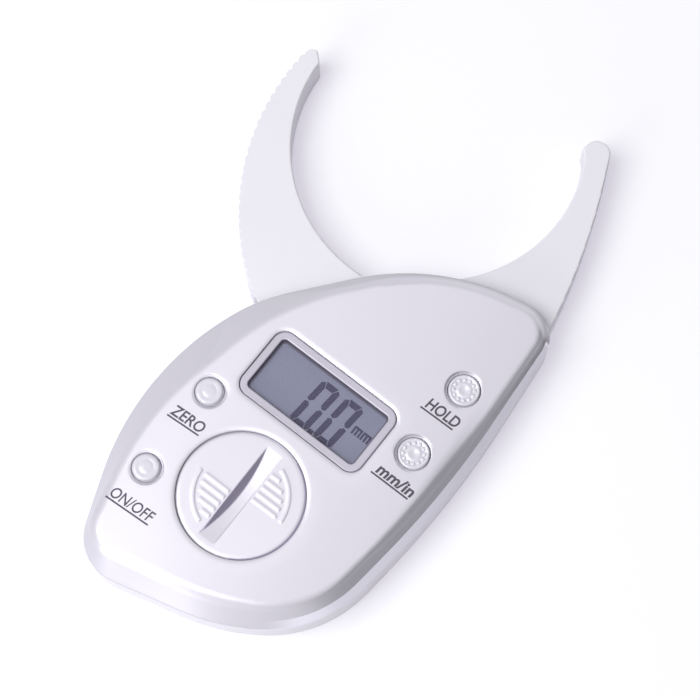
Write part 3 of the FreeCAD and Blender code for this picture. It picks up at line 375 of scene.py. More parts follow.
class Finish:
    """One node material, with short calls to add and link its nodes."""

    def __init__(self, name):
        self.material = bpy.data.materials.new(name)
        self.material.use_nodes = True
        self.nodes = self.material.node_tree.nodes
        self.links = self.material.node_tree.links
        self.shader = self.nodes["Principled BSDF"]
        self.place = self.nodes.new("ShaderNodeTexCoord").outputs["Object"]

    def add(self, kind, **settings):
        node = self.nodes.new(kind)
        for key, setting in settings.items():
            setattr(node, key, setting)
        return node

    def feed(self, socket, source):
        """Links an input to another socket, or sets it to a constant."""
        if isinstance(source, bpy.types.NodeSocket):
            self.links.new(source, socket)
        else:
            socket.default_value = source

    def set(self, **sockets):
        for key, setting in sockets.items():
            self.shader.inputs[key.replace("_", " ")].default_value = setting

    def colour(self, socket):
        self.links.new(socket, self.shader.inputs["Base Color"])

    def rough(self, socket):
        self.links.new(socket, self.shader.inputs["Roughness"])

    def noise(self, scale, detail=3.0):
        """Noise of a scale given in bumps per metre."""
        node = self.add("ShaderNodeTexNoise")
        node.inputs["Scale"].default_value = scale
        node.inputs["Detail"].default_value = detail
        node.inputs["Roughness"].default_value = NOISE_ROUGHNESS
        self.links.new(self.place, node.inputs["Vector"])
        return node.outputs["Fac"]

    def ramp(self, socket, start, end, low, high, interpolation="SMOOTHSTEP"):
        """Numbers that run from low to high while a socket runs from start to end."""
        node = self.add("ShaderNodeMapRange", interpolation_type=interpolation)
        numbers = {"From Min": start, "From Max": end, "To Min": low, "To Max": high}
        for name, number in numbers.items():
            node.inputs[name].default_value = number
        self.links.new(socket, node.inputs["Value"])
        return node.outputs["Result"]

    def spread(self, factor, low, high):
        """Numbers from low to high, in step with a factor from 0 to 1."""
        return self.ramp(factor, 0.0, 1.0, low, high, "LINEAR")

    def blend(self, factor, first, second):
        """Mixes two colours, or sockets that give colours, by a factor."""
        node = self.add("ShaderNodeMix", data_type="RGBA")
        for name, colour in (("A", first), ("B", second)):
            self.feed([s for s in node.inputs if s.name == name and s.type == "RGBA"][0], colour)
        self.links.new(factor, node.inputs["Factor"])
        return [s for s in node.outputs if s.type == "RGBA"][0]

    def math(self, operation, *parts):
        """Arithmetic on sockets or numbers."""
        node = self.add("ShaderNodeMath", operation=operation)
        for index, part in enumerate(parts):
            self.feed(node.inputs[index], part)
        return node.outputs[0]

    def vector(self, operation, *parts):
        """Vector arithmetic on sockets or constants."""
        node = self.add("ShaderNodeVectorMath", operation=operation)
        for index, part in enumerate(parts):
            self.feed(node.inputs[index], part)
        return node.outputs["Value" if operation in ("LENGTH", "DOT_PRODUCT") else "Vector"]

    def scaled(self, direction, factor):
        """A direction made longer or shorter by a factor."""
        node = self.add("ShaderNodeVectorMath", operation="SCALE")
        self.feed(node.inputs["Vector"], direction)
        self.feed(node.inputs["Scale"], factor)
        return node.outputs["Vector"]

    def toward(self, factor, first, second):
        """A unit direction between two directions."""
        rest = self.math("SUBTRACT", 1.0, factor)
        mixed = self.vector("ADD", self.scaled(first, rest), self.scaled(second, factor))
        return self.vector("NORMALIZE", mixed)

    def lifted(self, direction, amount):
        """A unit direction with some of the upward one added."""
        return self.vector("NORMALIZE", self.vector("ADD", direction, self.scaled(UP, amount)))

    def part(self, vector, direction):
        """Length of a vector along a direction."""
        return self.vector("DOT_PRODUCT", vector, direction)

    def from_axis(self, centre):
        """Flat vector from an upright axis through a centre."""
        offset = self.vector("SUBTRACT", self.place, (centre[0], centre[1], 0.0))
        return self.vector("MULTIPLY", offset, (1.0, 1.0, 0.0))

    def facing(self, direction):
        """How far the surface faces a direction of its own object, from -1 to 1."""
        surface = self.add("ShaderNodeNewGeometry")
        own = self.add("ShaderNodeVectorTransform", vector_type="NORMAL", convert_from="WORLD",
                       convert_to="OBJECT")
        self.links.new(surface.outputs["Normal"], own.inputs["Vector"])
        return self.part(own.outputs["Vector"], direction)

    def rounded(self, radius):
        """Normal of the surface with its edges rounded by a radius."""
        edge = self.add("ShaderNodeBevel", samples=8)
        self.feed(edge.inputs["Radius"], radius)
        return edge.outputs["Normal"]

    def bump(self, height, distance, strength, normal=None):
        """Bumps of a height given in metres, over a surface of the given normal."""
        node = self.add("ShaderNodeBump")
        node.inputs["Strength"].default_value = strength
        node.inputs["Distance"].default_value = distance
        self.links.new(height, node.inputs["Height"])
        if normal:
            self.links.new(normal, node.inputs["Normal"])
        self.links.new(node.outputs["Normal"], self.shader.inputs["Normal"])


def tinted(colour, factor):
    """A colour made lighter or darker by a factor."""
    return tuple(min(1.0, part * factor) for part in colour[:3]) + (1.0,)


def shaded(colour, factor):
    """A darker colour for painted shade, a little more violet than the first."""
    return tuple(part * factor * share for part, share in zip(colour[:3], VIOLET)) + (1.0,)


def window_distance(finish):
    """Distance outwards from the rounded edge of the display window, negative inside."""
    turn = finish.add("ShaderNodeMapping", vector_type="TEXTURE")
    turn.inputs["Location"].default_value = DISPLAY_CENTRE
    turn.inputs["Rotation"].default_value = (0.0, 0.0, DISPLAY_TURN)
    finish.links.new(finish.place, turn.inputs["Vector"])
    mirrored = finish.vector("ABSOLUTE", turn.outputs["Vector"])
    inner = (WINDOW_LENGTH / 2 - WINDOW_CORNER, WINDOW_WIDTH / 2 - WINDOW_CORNER, 1.0)
    beyond = finish.vector("MAXIMUM", finish.vector("SUBTRACT", mirrored, inner),
                           (0.0, 0.0, 0.0))
    return finish.math("SUBTRACT", finish.vector("LENGTH", beyond), WINDOW_CORNER)


def silver_paint(name, colour, roughness):
    """Satin silver paint with fine flakes: the finish, and a socket with its colour."""
    finish = Finish(name)
    flakes = finish.noise(9000.0, 1.0)
    clouds = finish.noise(60.0, 2.0)
    tone = finish.blend(clouds, tinted(colour, 0.985), tinted(colour, 1.015))
    tone = finish.blend(finish.spread(flakes, 0.0, 0.35), tone, tinted(colour, 1.10))
    finish.rough(finish.spread(flakes, roughness - 0.04, roughness + 0.05))
    finish.set(Metallic=0.42, Coat_Weight=0.12, Coat_Roughness=0.22)
    return finish, tone


def cover_paint(colour, roughness, shade):
    """Silver paint of the cover: soft lips round its openings, flanks lit as if rolled, painted
    light on the right flank's skirt, and painted shade on the window's wall.
    """
    finish, tone = silver_paint("cover_paint", colour, roughness)
    right = finish.ramp(finish.facing(RIGHT), *RIGHT_FACING, 0.0, 1.0)
    above = finish.ramp(finish.part(finish.place, UP), SKIRT_TOP - FOLD_HALF,
                        SKIRT_TOP + FOLD_HALF, 0.0, 1.0)
    window = window_distance(finish)
    door = finish.vector("LENGTH", finish.from_axis(DOOR_CENTRE))
    along = finish.part(finish.place, JAWWARD)
    across = finish.part(finish.place, RIGHT)

    # Colour: painted light makes the skirt of the right flank paler, and painted shade darkens the
    # wall in the display's opening.
    skirt = finish.math("MULTIPLY", right, finish.math("SUBTRACT", 1.0, above))
    tone = finish.blend(skirt, tone, tinted(colour, SKIRT_LIGHT))
    finish.colour(finish.blend(finish.ramp(window, *WELL_EDGE, 1.0, 0.0), tone, shade))

    # Normals turned up round the openings and on each flank, or down on the skirt.
    lip = finish.math("MAXIMUM", *(
        finish.ramp(distance, edge + LIP_REACH - LIP_FADE, edge + LIP_REACH, 1.0, 0.0)
        for distance, edge in ((door, DOOR_RADIUS), (window, BEZEL_BORDER))))
    shoulder = finish.math("MULTIPLY", above,
                           finish.ramp(along, *SHOULDER_FADE, SHOULDER_LIFT, SHOULDER_END))
    drop = finish.spread(above, SKIRT_DROP, 0.0)
    near = finish.ramp(finish.facing((0.0, -1.0, 0.0)), *NEAR_FACING, 0.0, NEAR_LIFT)
    lift = finish.math("MULTIPLY", lip, LIP_LIFT)
    for amount in (
        finish.math("MULTIPLY", finish.ramp(across, *NEAR_FADE, NEAR_SHARE, 1.0), near),
        finish.math("MULTIPLY", finish.math("ADD", shoulder, drop), right),
        finish.ramp(finish.facing(JAWWARD), *FAR_FACING, 0.0, FAR_LIFT),
    ):
        lift = finish.math("ADD", lift, amount)

    # Normals turned outwards on the top's right edge.
    outward = finish.from_axis(EDGE_CENTRE)
    lean = finish.ramp(finish.vector("LENGTH", outward), EDGE_RADIUS - LEAN_START,
                       EDGE_RADIUS - LEAN_END, 0.0, LEAN / EDGE_RADIUS)
    for mask in (finish.ramp(finish.facing(UP), *TOP_FACING, 0.0, 1.0),
                 finish.ramp(along, *LEAN_FADE, 1.0, 0.0)):
        lean = finish.math("MULTIPLY", lean, mask)
    normal = finish.vector("ADD", finish.rounded(finish.spread(lip, EDGE_ROUNDING, LIP_ROUNDING)),
                           finish.scaled(outward, lean))
    finish.bump(finish.noise(PAINT_GRAIN, 1.0), PAINT_GRAIN_HEIGHT, 0.5,
                finish.lifted(normal, lift))
    return finish.material


def door_paint(colour, roughness):
    """Silver paint of the battery door: round rim, paint that fills the grips, and painted shade on
    one side of the slot.
    """
    finish, tone = silver_paint("door_paint", colour, roughness)
    offset = finish.from_axis(DOOR_CENTRE)
    away = finish.vector("LENGTH", offset)
    # Painted shade on the side of the slot that faces right.
    slot_shadow_side = finish.math("GREATER_THAN", finish.facing(RIGHT), SLOT_FACING)
    finish.colour(finish.blend(slot_shadow_side, tone, shaded(colour, SLOT_SHADE)))
    inner, middle, outer = (DOOR_RADIUS - depth for depth in RIM_DEPTHS)
    rounding = finish.ramp(away, inner, middle, GRIP_ROUNDING, RIM_ROUNDING)
    in_grip = finish.ramp(away, GRIP_RADIUS, GRIP_RADIUS + GRIP_FADE, GRIP_FILLING, 0.0)
    beside = finish.math("GREATER_THAN", finish.math("ABSOLUTE", finish.part(offset, RIGHT)),
                         SLOT_HALF)
    normal = finish.toward(finish.math("MULTIPLY", in_grip, beside), finish.rounded(rounding), UP)
    rim = finish.ramp(away, middle, outer, 0.0, RIM_LIFT)
    finish.bump(finish.noise(PAINT_GRAIN, 1.0), PAINT_GRAIN_HEIGHT, 0.5,
                finish.lifted(normal, rim))
    return finish.material


def moulded_plastic(name, colour, roughness=0.42):
    """Moulded plastic with a fine spark-eroded grain."""
    finish = Finish(name)
    clouds = finish.noise(90.0)
    finish.colour(finish.blend(clouds, tinted(colour, 0.975), tinted(colour, 1.02)))
    finish.rough(finish.spread(finish.noise(500.0), roughness - 0.05, roughness + 0.06))
    finish.bump(finish.noise(7000.0, 2.0), 0.004 * MM, 0.6, finish.rounded(0.18 * MM))
    return finish.material


def bezel_metal(name, colour, shade):
    """Warm silver, satin on top, with painted shade on the wall round the window."""
    finish = Finish(name)
    grain = finish.noise(6000.0, 2.0)
    tone = finish.blend(finish.noise(150.0), tinted(colour, 0.94), tinted(colour, 1.06))
    # Painted shade on the wall round the window.
    wall = finish.ramp(window_distance(finish), 0.02 * MM, 0.04 * MM, 1.0, 0.0)
    finish.colour(finish.blend(wall, tone, shade))
    finish.rough(finish.spread(grain, 0.38, 0.5))
    finish.bump(grain, 0.002 * MM, 0.4, finish.rounded(0.15 * MM))
    finish.set(Metallic=0.35)
    return finish.material


def display_glass(name, colour, painted_edge_shade):
    """Grey display with a faint cloudy sheen, painted shade round its edge, and a painted glow."""
    finish = Finish(name)
    clouds = finish.noise(110.0, 1.5)
    tone = finish.blend(clouds, tinted(colour, 0.95), tinted(colour, 1.06))
    # Painted shade: a dark band round the display's edge, inside the window.
    edge = finish.ramp(window_distance(finish), -0.6 * MM, -0.1 * MM, 0.0, 1.0)
    tone = finish.blend(edge, tone, painted_edge_shade)
    finish.colour(tone)
    # Painted light: the display glows at its own colour, though it is no lamp.
    finish.links.new(tone, finish.shader.inputs["Emission Color"])
    finish.rough(finish.spread(finish.noise(900.0), 0.32, 0.42))
    finish.set(Specular_IOR_Level=0.35, Emission_Strength=0.4)
    return finish.material


def clear_window(name):
    """Thin clear window: mostly see-through, with a faint gloss."""
    finish = Finish(name)
    finish.rough(finish.spread(finish.noise(400.0), 0.03, 0.07))
    finish.set(Base_Color=(0.25, 0.26, 0.32, 1.0), Alpha=0.08, Specular_IOR_Level=0.5)
    return finish.material


def printed_ink(name, colour):
    """Pad-printed ink, a little uneven."""
    finish = Finish(name)
    blots = finish.noise(5000.0, 2.0)
    finish.colour(finish.blend(blots, tinted(colour, 0.85), tinted(colour, 1.25)))
    finish.rough(finish.spread(finish.noise(2500.0), 0.45, 0.6))
    return finish.material


def clear_cap(name, colour):
    """Clear pearly plastic of the key caps."""
    finish = Finish(name)
    pearl = finish.noise(1200.0, 2.0)
    finish.colour(finish.blend(pearl, tinted(colour, 0.95), tinted(colour, 1.05)))
    finish.rough(finish.spread(finish.noise(1500.0), 0.08, 0.16))
    finish.bump(finish.noise(2600.0, 2.0), 0.015 * MM, 0.5, finish.rounded(0.08 * MM))
    finish.set(Transmission_Weight=0.12, IOR=1.49, Coat_Weight=0.6, Coat_Roughness=0.05)
    return finish.material


def plated_metal(name, colour, roughness=0.3):
    """Plated or turned metal with fine tool marks."""
    finish = Finish(name)
    marks = finish.noise(TOOL_MARKS, 4.0)
    finish.colour(finish.blend(marks, tinted(colour, 0.88), tinted(colour, 1.08)))
    finish.rough(finish.spread(marks, roughness - 0.08, roughness + 0.1))
    finish.bump(marks, 0.004 * MM, 0.4, finish.rounded(0.06 * MM))
    finish.set(Metallic=1.0)
    return finish.material


def laminate(name, colour):
    """Solder mask over woven laminate."""
    finish = Finish(name)
    weave = finish.add("ShaderNodeTexBrick")
    weave.inputs["Scale"].default_value = 900.0
    weave.inputs["Mortar Size"].default_value = 0.04
    finish.links.new(finish.place, weave.inputs["Vector"])
    finish.colour(finish.blend(weave.outputs["Fac"], tinted(colour, 1.0), tinted(colour, 0.8)))
    finish.rough(finish.spread(finish.noise(800.0), 0.3, 0.42))
    finish.bump(weave.outputs["Fac"], 0.006 * MM, 0.5)
    return finish.material


def dress(material, *nodes):
    """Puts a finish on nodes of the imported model."""
    for node in nodes:
        for slot in NODES[node].material_slots:
            slot.material = material


# ---------------------------------------------------------------- shapes


def crown_height(x):
    """Height of the cover's crowned top at a place across the case."""
    drop = CROWN_RADIUS - math.sqrt(CROWN_RADIUS ** 2 - (x - CROWN_CENTRE) ** 2)
    return COVER_TOP - drop


def finished_mesh(name, shape):
    """An object at the origin from a bmesh, with closed and outward faces."""
    bmesh.ops.remove_doubles(shape, verts=shape.verts, dist=MERGE_DISTANCE)
    bmesh.ops.recalc_face_normals(shape, faces=shape.faces)
    mesh = bpy.data.meshes.new(name)
    shape.to_mesh(mesh)
    shape.free()
    piece = bpy.data.objects.new(name, mesh)
    bpy.context.scene.collection.objects.link(piece)
    return piece


def give(piece, material, body):
    """Finish and body of a new piece."""
    piece.data.materials.clear()
    piece.data.materials.append(material)
    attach(piece, body)


def plate(shape, corners, bottom, top):
    """A flat plate with the given corners, between two heights."""
    low = [shape.verts.new((x, y, bottom)) for x, y in corners]
    face = shape.faces.new(low)
    raised = bmesh.ops.extrude_face_region(shape, geom=[face])
    moved = [item for item in raised["geom"] if isinstance(item, bmesh.types.BMVert)]
    bmesh.ops.translate(shape, verts=moved, vec=(0.0, 0.0, top - bottom))


def turned_shape(shape, profile, steps):
    """Spins a profile of radius and height about the Z axis."""
    verts = [shape.verts.new((radius, 0.0, height)) for radius, height in profile]
    edges = [shape.edges.new(pair) for pair in zip(verts, verts[1:])]
    bmesh.ops.spin(shape, geom=verts + edges, axis=UP, cent=(0.0, 0.0, 0.0),
                   angle=2 * math.pi, steps=steps, use_merge=True)
    bmesh.ops.remove_doubles(shape, verts=shape.verts, dist=MERGE_DISTANCE)


# ---------------------------------------------------------------- operators


class CALIPER_OT_shells(bpy.types.Operator):
    """Paint the cover and the door, and finish the moulded jaws and housing"""

    bl_idname = "caliper.shells"
    bl_label = "Shells and jaws"

    def execute(self, context):
        look = context.scene.caliper_finish
        dress(cover_paint(look.paint, look.paint_shine, look.shade), "top_cover")
        dress(door_paint(look.paint, look.paint_shine), "battery_door")
        dress(moulded_plastic("jaw_plastic", look.plastic), "moving_jaw", "lower_housing")
        return {"FINISHED"}


class CALIPER_OT_works(bpy.types.Operator):
    """Finish the pivot, the board, the cell and the screws"""

    bl_idname = "caliper.works"
    bl_label = "Works"

    def execute(self, context):
        for material, nodes in (
            (plated_metal("zinc_plate", ZINC), ("pivot_screw", "case_screws", "board_screws")),
            (plated_metal("spring_strip", STRIP_STEEL, STRIP_ROUGHNESS),
             ("return_spring", "pivot_washer")),
            (plated_metal("nickel_strip", NICKEL, roughness=0.24),
             ("negative_contact", "positive_contact")),
            (plated_metal("turned_brass", BRASS), ("pivot_bush",)),
            (plated_metal("cell_can", CELL_CAN, roughness=0.22), ("coin_cell",)),
            (laminate("solder_mask", SOLDER_MASK), ("circuit_board", "jaw_scale")),
            (moulded_plastic("chip_resin", CHIP_RESIN, roughness=0.3),
             ("board_chip", "board_parts")),
            (moulded_plastic("strip_rubber", STRIP_RUBBER, roughness=0.6), ("lcd_strips",)),
            (moulded_plastic("frame_plastic", FRAME_PLASTIC, roughness=0.4), ("lcd_frame",)),
        ):
            dress(material, *nodes)
        return {"FINISHED"}


class CALIPER_OT_display(bpy.types.Operator):
    """Finish the bezel, window and glass, and draw the reading"""

    bl_idname = "caliper.display"
    bl_label = "Display"

    def execute(self, context):
        look = context.scene.caliper_finish
        dress(bezel_metal("bezel_metal", look.bezel, look.shade), "display_bezel")
        dress(clear_window("clear_window"), "display_lens")
        # The panel and the film under the lens share this glass: painted light, with painted shade
        # round its edge.
        glass = display_glass("display_glass", look.glass, look.shade)
        dress(glass, "lcd_panel")
        give(self.film(), glass, CASE)
        reading = self.reading(context.scene.caliper_sizes)
        give(reading, printed_ink("display_strokes", look.stroke), CASE)
        return {"FINISHED"}

    def film(self):
        """Front film of the display, right under the lens."""
        shape = bmesh.new()
        bmesh.ops.create_cube(shape, size=1.0)
        bmesh.ops.scale(shape, verts=shape.verts, vec=(
            WINDOW_LENGTH + FILM_MARGIN, WINDOW_WIDTH + FILM_MARGIN, FILM_THICKNESS))
        upright = [edge for edge in shape.edges
                   if abs(edge.verts[0].co.z - edge.verts[1].co.z) > FILM_THICKNESS / 2]
        bmesh.ops.bevel(shape, geom=upright, offset=WINDOW_CORNER, segments=6, affect="EDGES",
                        profile=0.5, material=-1)
        piece = finished_mesh("display_film", shape)
        middle = DISPLAY_CENTRE + Vector((0.0, 0.0, FILM_TOP - FILM_THICKNESS / 2))
        piece.data.transform(Matrix.Translation(middle) @ Matrix.Rotation(DISPLAY_TURN, 4, "Z"))
        return piece

    def reading(self, sizes):
        """The noughts with a point between them, and the unit to the right of them."""
        shape = bmesh.new()
        foot = READING_FOOT - DISPLAY_CENTRE.xy
        for index in range(DIGITS):
            for stroke in NOUGHT:
                self.slanted_plate(shape, foot.x + index * sizes.digit_pitch, foot.y,
                                   self.stroke(stroke, sizes), sizes)
        side = sizes.digit_stroke * POINT_SIDE
        self.slanted_plate(shape, foot.x + sizes.digit_width + POINT_GAP, foot.y,
                           [(0.0, 0.0), (side, 0.0), (side, side), (0.0, side)], sizes)
        self.unit(shape)
        piece = finished_mesh("display_reading", shape)
        turn = Matrix.Rotation(DISPLAY_TURN, 4, "Z")
        piece.data.transform(Matrix.Translation(DISPLAY_CENTRE) @ turn)
        return piece

    def slanted_plate(self, shape, left, base, corners, sizes):
        """A plate of the reading, whose corners lean to the right with their height."""
        slanted = [(left + x + y * sizes.digit_slant, base + y) for x, y in corners]
        plate(shape, slanted, READING_BOTTOM, READING_TOP)

    def stroke(self, name, sizes):
        """Corners of one stroke of a digit, mitred where strokes meet."""
        wide, high, thick = sizes.digit_width, sizes.digit_height, sizes.digit_stroke
        corner = STROKE_CORNER * thick
        if name in "ad":
            outer, inner = (high, high - thick) if name == "a" else (0.0, thick)
            return [(corner + STROKE_GAP, outer), (wide - corner - STROKE_GAP, outer),
                    (wide - thick - STROKE_GAP / 2, inner), (thick + STROKE_GAP / 2, inner)]
        columns = (0.0, corner, thick) if name in "ef" else (wide, wide - corner, wide - thick)
        outside, cut, inside = columns
        ends = [(x, high / 2 + rise) for x, rise in zip(columns, STROKE_END)]
        corners = ends + [(inside, high - thick - STROKE_GAP), (cut, high - STROKE_GAP * 2),
                          (outside, high - corner)]
        if name in "fb":
            return corners
        return [(x, high - y) for x, y in corners]

    def unit(self, shape):
        """Two small letters m, each three uprights under a bar."""
        base = UNIT_FOOT[1] - DISPLAY_CENTRE.y
        bar, top = base + UNIT_HEIGHT - UNIT_BAR, base + UNIT_HEIGHT
        for index in range(2):
            left = UNIT_FOOT[0] - DISPLAY_CENTRE.x + index * (UNIT_WIDTH + UNIT_GAP)
            boxes = [(left, bar, left + UNIT_WIDTH, top)]
            for upright in range(3):
                start = left + upright * (UNIT_WIDTH - UNIT_BAR) / 2
                boxes.append((start, base, start + UNIT_BAR, bar))
            for x0, y0, x1, y1 in boxes:
                plate(shape, [(x0, y0), (x1, y0), (x1, y1), (x0, y1)], READING_BOTTOM, READING_TOP)


class CALIPER_OT_keys(bpy.types.Operator):
    """Model the four clear key caps and the domes under them"""

    bl_idname = "caliper.keys"
    bl_label = "Keys"

    def execute(self, context):
        look = context.scene.caliper_finish
        sizes = context.scene.caliper_sizes
        material = clear_cap("clear_cap", look.cap)
        strip = plated_metal("dome_strip", STRIP_STEEL, STRIP_ROUGHNESS)
        for key in KEYS:
            piece = self.cap(key, sizes)
            give(piece, material, "key_" + key)
            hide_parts("button_" + key)
            dome = self.dome(key)
            give(dome, strip, CASE)
            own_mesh(dome)
            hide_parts("dome_" + key)
        return {"FINISHED"}

    def dome(self, key):
        """The dome under a key, as one closed mesh."""
        shape = bmesh.new()
        shape.from_mesh(NODES["dome_" + key].data)
        return finished_mesh("press_dome_" + key, shape)

    def cap(self, key, sizes):
        """A spun key: collar in the cover's hole, and a cap on it with a ring of bumps."""
        low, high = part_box("button_" + key)
        centre = (low + high) / 2
        flange = (high.x - low.x) / 2
        hole = flange - FLANGE_WIDTH
        small = hole < SMALL_HOLE
        radius = hole - (SMALL_GAP if small else LARGE_GAP)
        top = high.z
        shoulder = self.shoulder(key, hole)
        shape = bmesh.new()
        turned_shape(shape, [
            (0.0, low.z),
            (STEM_RADIUS, low.z),
            (STEM_RADIUS, shoulder - FLANGE_THICKNESS),
            (flange, shoulder - FLANGE_THICKNESS),
            (flange, shoulder),
            (hole, shoulder),
            (hole, top - COLLAR_DEPTH),
            (radius, top - FOOT_DEPTH),
            (radius, top - CROWN_DEPTH),
        ] + self.crown(radius, top, small), CAP_STEPS)
        if not small:
            self.ring(shape, radius * RING_RADIUS, top - RING_DEPTH, sizes)
        piece = finished_mesh("cap_" + key, shape)
        piece.data.transform(Matrix.Translation((centre.x, centre.y, 0.0)))
        for face in piece.data.polygons:
            face.use_smooth = True
        return piece

    def crown(self, radius, top, small):
        """Profile of a cap's crown, from its edge to its middle."""
        profile = []
        if small:
            for step in range(1, ROLL_STEPS + 1):
                turn = math.pi / 2 * step / ROLL_STEPS
                profile.append((radius - ROLL_REACH * (1 - math.cos(turn)),
                                top - CROWN_DEPTH + ROLL_RISE * math.sin(turn)))
        for share, inset, depth in SMALL_CROWN if small else LARGE_CROWN:
            profile.append((radius * share - inset * MM, top - depth * MM))
        return profile

    def ring(self, shape, ring, height, sizes):
        """Bumps in a circle round the middle of a cap."""
        for index in range(sizes.bumps):
            turn = 2 * math.pi * index / sizes.bumps
            ball = bmesh.ops.create_uvsphere(
                shape, u_segments=14, v_segments=8, radius=sizes.bump_radius)
            bmesh.ops.scale(shape, verts=ball["verts"], vec=(1.0, 1.0, BUMP_FLATNESS))
            bmesh.ops.translate(shape, verts=ball["verts"], vec=(
                ring * math.cos(turn), ring * math.sin(turn), height))

    def shoulder(self, key, hole):
        """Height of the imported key's flange, the part of it that is wider than its hole."""
        low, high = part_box("button_" + key)
        centre = (low + high) / 2
        return max(vert.co.z for vert in NODES["button_" + key].data.vertices
                   if (vert.co.xy - centre.xy).length > hole + FLANGE_SEARCH)


class CALIPER_OT_legends(bpy.types.Operator):
    """Print the words and lines beside the keys"""

    bl_idname = "caliper.legends"
    bl_label = "Legends"

    def execute(self, context):
        look = context.scene.caliper_finish
        sizes = context.scene.caliper_sizes
        ink = printed_ink("printed_ink", look.ink)
        for name, words, middle, length, turn, weight, span, shift in LEGENDS:
            letters = self.letters(words, span * MM, shift * MM, weight * MM, sizes)
            piece = self.legend(name, letters, middle, length, turn, sizes)
            give(piece, ink, CASE)
        return {"FINISHED"}

    def legend(self, name, letters, middle, length, turn, sizes):
        """Letters and the line under them, laid on the crowned top of the cover."""
        shape = bmesh.new()
        shape.from_mesh(letters)
        rule = bmesh.ops.create_grid(shape, x_segments=RULE_STEPS, y_segments=1, size=0.5)
        bmesh.ops.scale(shape, verts=rule["verts"], vec=(length * MM, sizes.underline, 1.0))
        place = Matrix.Translation((middle[0] * MM, middle[1] * MM, 0.0))
        place @= Matrix.Rotation(math.radians(turn), 4, "Z")
        bmesh.ops.transform(shape, verts=shape.verts, matrix=place)
        for vert in shape.verts:
            vert.co.z = crown_height(vert.co.x) + LEGEND_LIFT
        piece = finished_mesh("legend_" + name, shape)
        for face in piece.data.polygons:
            if face.normal.z < 0:
                face.flip()
        return piece

    def letters(self, words, span, shift, weight, sizes):
        """Flat slanted letters as a mesh of the given length, over the middle of a line."""
        text = bpy.data.curves.new("letters", "FONT")
        text.body = words
        text.align_x = "CENTER"
        text.shear = sizes.letter_slant
        text.resolution_u = 4
        text.size = sizes.letter_height / CAPITAL_SHARE
        text.offset = weight
        holder = bpy.data.objects.new("letters", text)
        bpy.context.scene.collection.objects.link(holder)
        bpy.context.view_layer.update()
        mesh = bpy.data.meshes.new_from_object(holder)
        wide = [vert.co.x for vert in mesh.vertices]
        middle = (max(wide) + min(wide)) / 2
        fit = span / (max(wide) - min(wide))
        lift = sizes.underline / 2 + sizes.underline_gap
        stretch = Matrix.Diagonal((fit, 1.0, 1.0, 1.0))
        mesh.transform(Matrix.Translation((shift, lift, 0.0)) @ stretch
                       @ Matrix.Translation((-middle, 0.0, 0.0)))
        bpy.data.objects.remove(holder)
        return mesh


def seen_directly(nodes, links):
    """1 for rays from the camera, from gloss and through glass, 0 for the light on the object."""
    path = nodes.new("ShaderNodeLightPath")
    total = path.outputs["Is Camera Ray"]
    for kind in ("Is Glossy Ray", "Is Transmission Ray"):
        longest = nodes.new("ShaderNodeMath")
        longest.operation = "MAXIMUM"
        links.new(total, longest.inputs[0])
        links.new(path.outputs[kind], longest.inputs[1])
        total = longest.outputs[0]
    return total


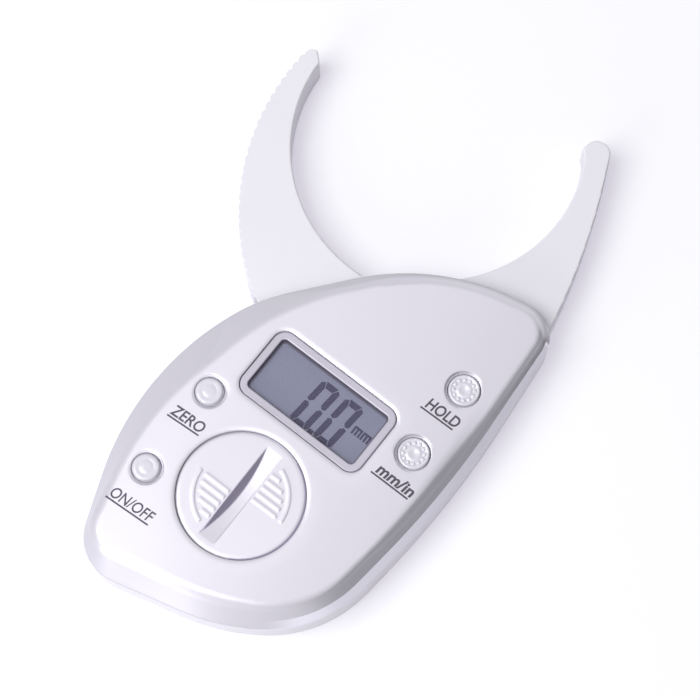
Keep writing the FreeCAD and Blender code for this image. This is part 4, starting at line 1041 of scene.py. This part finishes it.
class CALIPER_OT_stage(bpy.types.Operator):
    """Set the floor, the soft light and the camera"""

    bl_idname = "caliper.stage"
    bl_label = "Stage"

    def execute(self, context):
        stage = context.scene.caliper_stage
        self.floor(stage)
        for name, side, distance, size in (
            ("key_light", LIGHT_SIDE, LIGHT_DISTANCE, LIGHT_SIZE),
            ("soft_box", BOX_SIDE, BOX_DISTANCE, BOX_SIZE),
            ("fill_light", FILL_SIDE, FILL_DISTANCE, FILL_SIZE),
        ):
            self.light(name, side.normalized() * distance, size, getattr(stage, name))
        self.card()
        self.sky(stage)
        self.camera(context.scene)
        context.scene.view_settings.view_transform = "Standard"
        return {"FINISHED"}

    def floor(self, stage):
        """A floor that glows a little where the camera sees it, so that its shadows stay pale."""
        shape = bmesh.new()
        bmesh.ops.create_grid(shape, x_segments=2, y_segments=2, size=FLOOR_HALF)
        floor = finished_mesh("floor", shape)
        floor.data.transform(Matrix.Translation((0.0, 0.0, CAD_BOX[0].z - FLOOR_GAP)))
        finish = Finish("floor_paper")
        seen = seen_directly(finish.nodes, finish.links)
        finish.colour(finish.blend(seen, stage.floor_bounce, stage.floor))
        finish.set(Roughness=0.9, Specular_IOR_Level=0.1)
        glow = finish.add("ShaderNodeEmission")
        glow.inputs["Color"].default_value = tuple(stage.floor_glow)
        finish.links.new(seen, glow.inputs["Strength"])
        both = finish.add("ShaderNodeAddShader")
        finish.links.new(finish.shader.outputs[0], both.inputs[0])
        finish.links.new(glow.outputs[0], both.inputs[1])
        output = finish.nodes["Material Output"]
        finish.links.new(both.outputs[0], output.inputs["Surface"])
        floor.data.materials.append(finish.material)

    def light(self, name, place, size, power):
        """A square soft light that shines at the origin."""
        lamp = bpy.data.lights.new(name, "AREA")
        lamp.shape = "SQUARE"
        lamp.size = size
        lamp.energy = power
        holder = bpy.data.objects.new(name, lamp)
        holder.location = place
        holder.rotation_euler = (-place).to_track_quat("-Z", "Y").to_euler()
        bpy.context.scene.collection.objects.link(holder)

    def card(self):
        """A dark upright card that only glossy surfaces see."""
        shape = bmesh.new()
        bmesh.ops.create_grid(shape, x_segments=1, y_segments=1, size=0.5)
        card = finished_mesh("dark_card", shape)
        face_case = CARD_SIDE.to_track_quat("Z", "Y").to_matrix().to_4x4()
        lift = Matrix.Translation((0.0, 0.0, CARD_HEIGHT / 2))
        card.data.transform(lift @ Matrix.Translation(CARD_SIDE.normalized() * CARD_DISTANCE)
                            @ face_case @ Matrix.Diagonal((CARD_WIDTH, CARD_HEIGHT, 1.0, 1.0)))
        finish = Finish("card_felt")
        finish.set(Base_Color=CARD_FELT, Roughness=1.0, Specular_IOR_Level=0.0)
        card.data.materials.append(finish.material)
        card.visible_camera = False
        card.visible_diffuse = False
        card.visible_shadow = False

    def sky(self, stage):
        """Even white light, shown as white to the camera, to gloss and through glass."""
        world = bpy.data.worlds.new("studio")
        world.use_nodes = True
        nodes, links = world.node_tree.nodes, world.node_tree.links
        amount = nodes.new("ShaderNodeMix")
        links.new(seen_directly(nodes, links), amount.inputs["Factor"])
        amount.inputs["A"].default_value = stage.sky
        amount.inputs["B"].default_value = 1.0
        links.new(amount.outputs["Result"], nodes["Background"].inputs["Strength"])
        nodes["Background"].inputs["Color"].default_value = (1.0, 1.0, 1.0, 1.0)
        bpy.context.scene.world = world

    def camera(self, scene):
        """Camera over the case from the battery end and the right."""
        lens = bpy.data.cameras.new("camera")
        lens.sensor_width = SENSOR_WIDTH
        lens.lens = SENSOR_WIDTH * FOCAL_PIXELS / PICTURE_PIXELS
        lens.clip_start = NEAREST
        holder = bpy.data.objects.new("camera", lens)
        holder.location = EYE
        holder.rotation_euler = (AIM - EYE).to_track_quat("-Z", "Y").to_euler()
        scene.collection.objects.link(holder)
        scene.camera = holder


class CALIPER_PT_panel(bpy.types.Panel):
    """Lists the caliper's steps and settings"""

    bl_idname = "CALIPER_PT_panel"
    bl_label = "Skinfold caliper"
    bl_space_type = "VIEW_3D"
    bl_region_type = "UI"
    bl_category = "Caliper"

    def draw(self, context):
        for step in STEPS:
            self.layout.operator(step.bl_idname)
        for group, place in GROUPS.items():
            settings = getattr(context.scene, place)
            for name in group.__annotations__:
                self.layout.prop(settings, name)


GROUPS = {
    CaliperFinish: "caliper_finish",
    CaliperSizes: "caliper_sizes",
    CaliperStage: "caliper_stage",
}
STEPS = (
    CALIPER_OT_shells,
    CALIPER_OT_works,
    CALIPER_OT_display,
    CALIPER_OT_keys,
    CALIPER_OT_legends,
    CALIPER_OT_stage,
)


def register():
    for group, name in GROUPS.items():
        bpy.utils.register_class(group)
        setattr(bpy.types.Scene, name, PointerProperty(type=group))
    for step in STEPS:
        bpy.utils.register_class(step)
    bpy.utils.register_class(CALIPER_PT_panel)


def unregister():
    bpy.utils.unregister_class(CALIPER_PT_panel)
    for step in reversed(STEPS):
        bpy.utils.unregister_class(step)
    for group, name in GROUPS.items():
        delattr(bpy.types.Scene, name)
        bpy.utils.unregister_class(group)


def main():
    register()
    bpy.ops.caliper.shells()
    bpy.ops.caliper.works()
    bpy.ops.caliper.display()
    bpy.ops.caliper.keys()
    bpy.ops.caliper.legends()
    bpy.ops.caliper.stage()


if __name__ == "__main__":
    main()
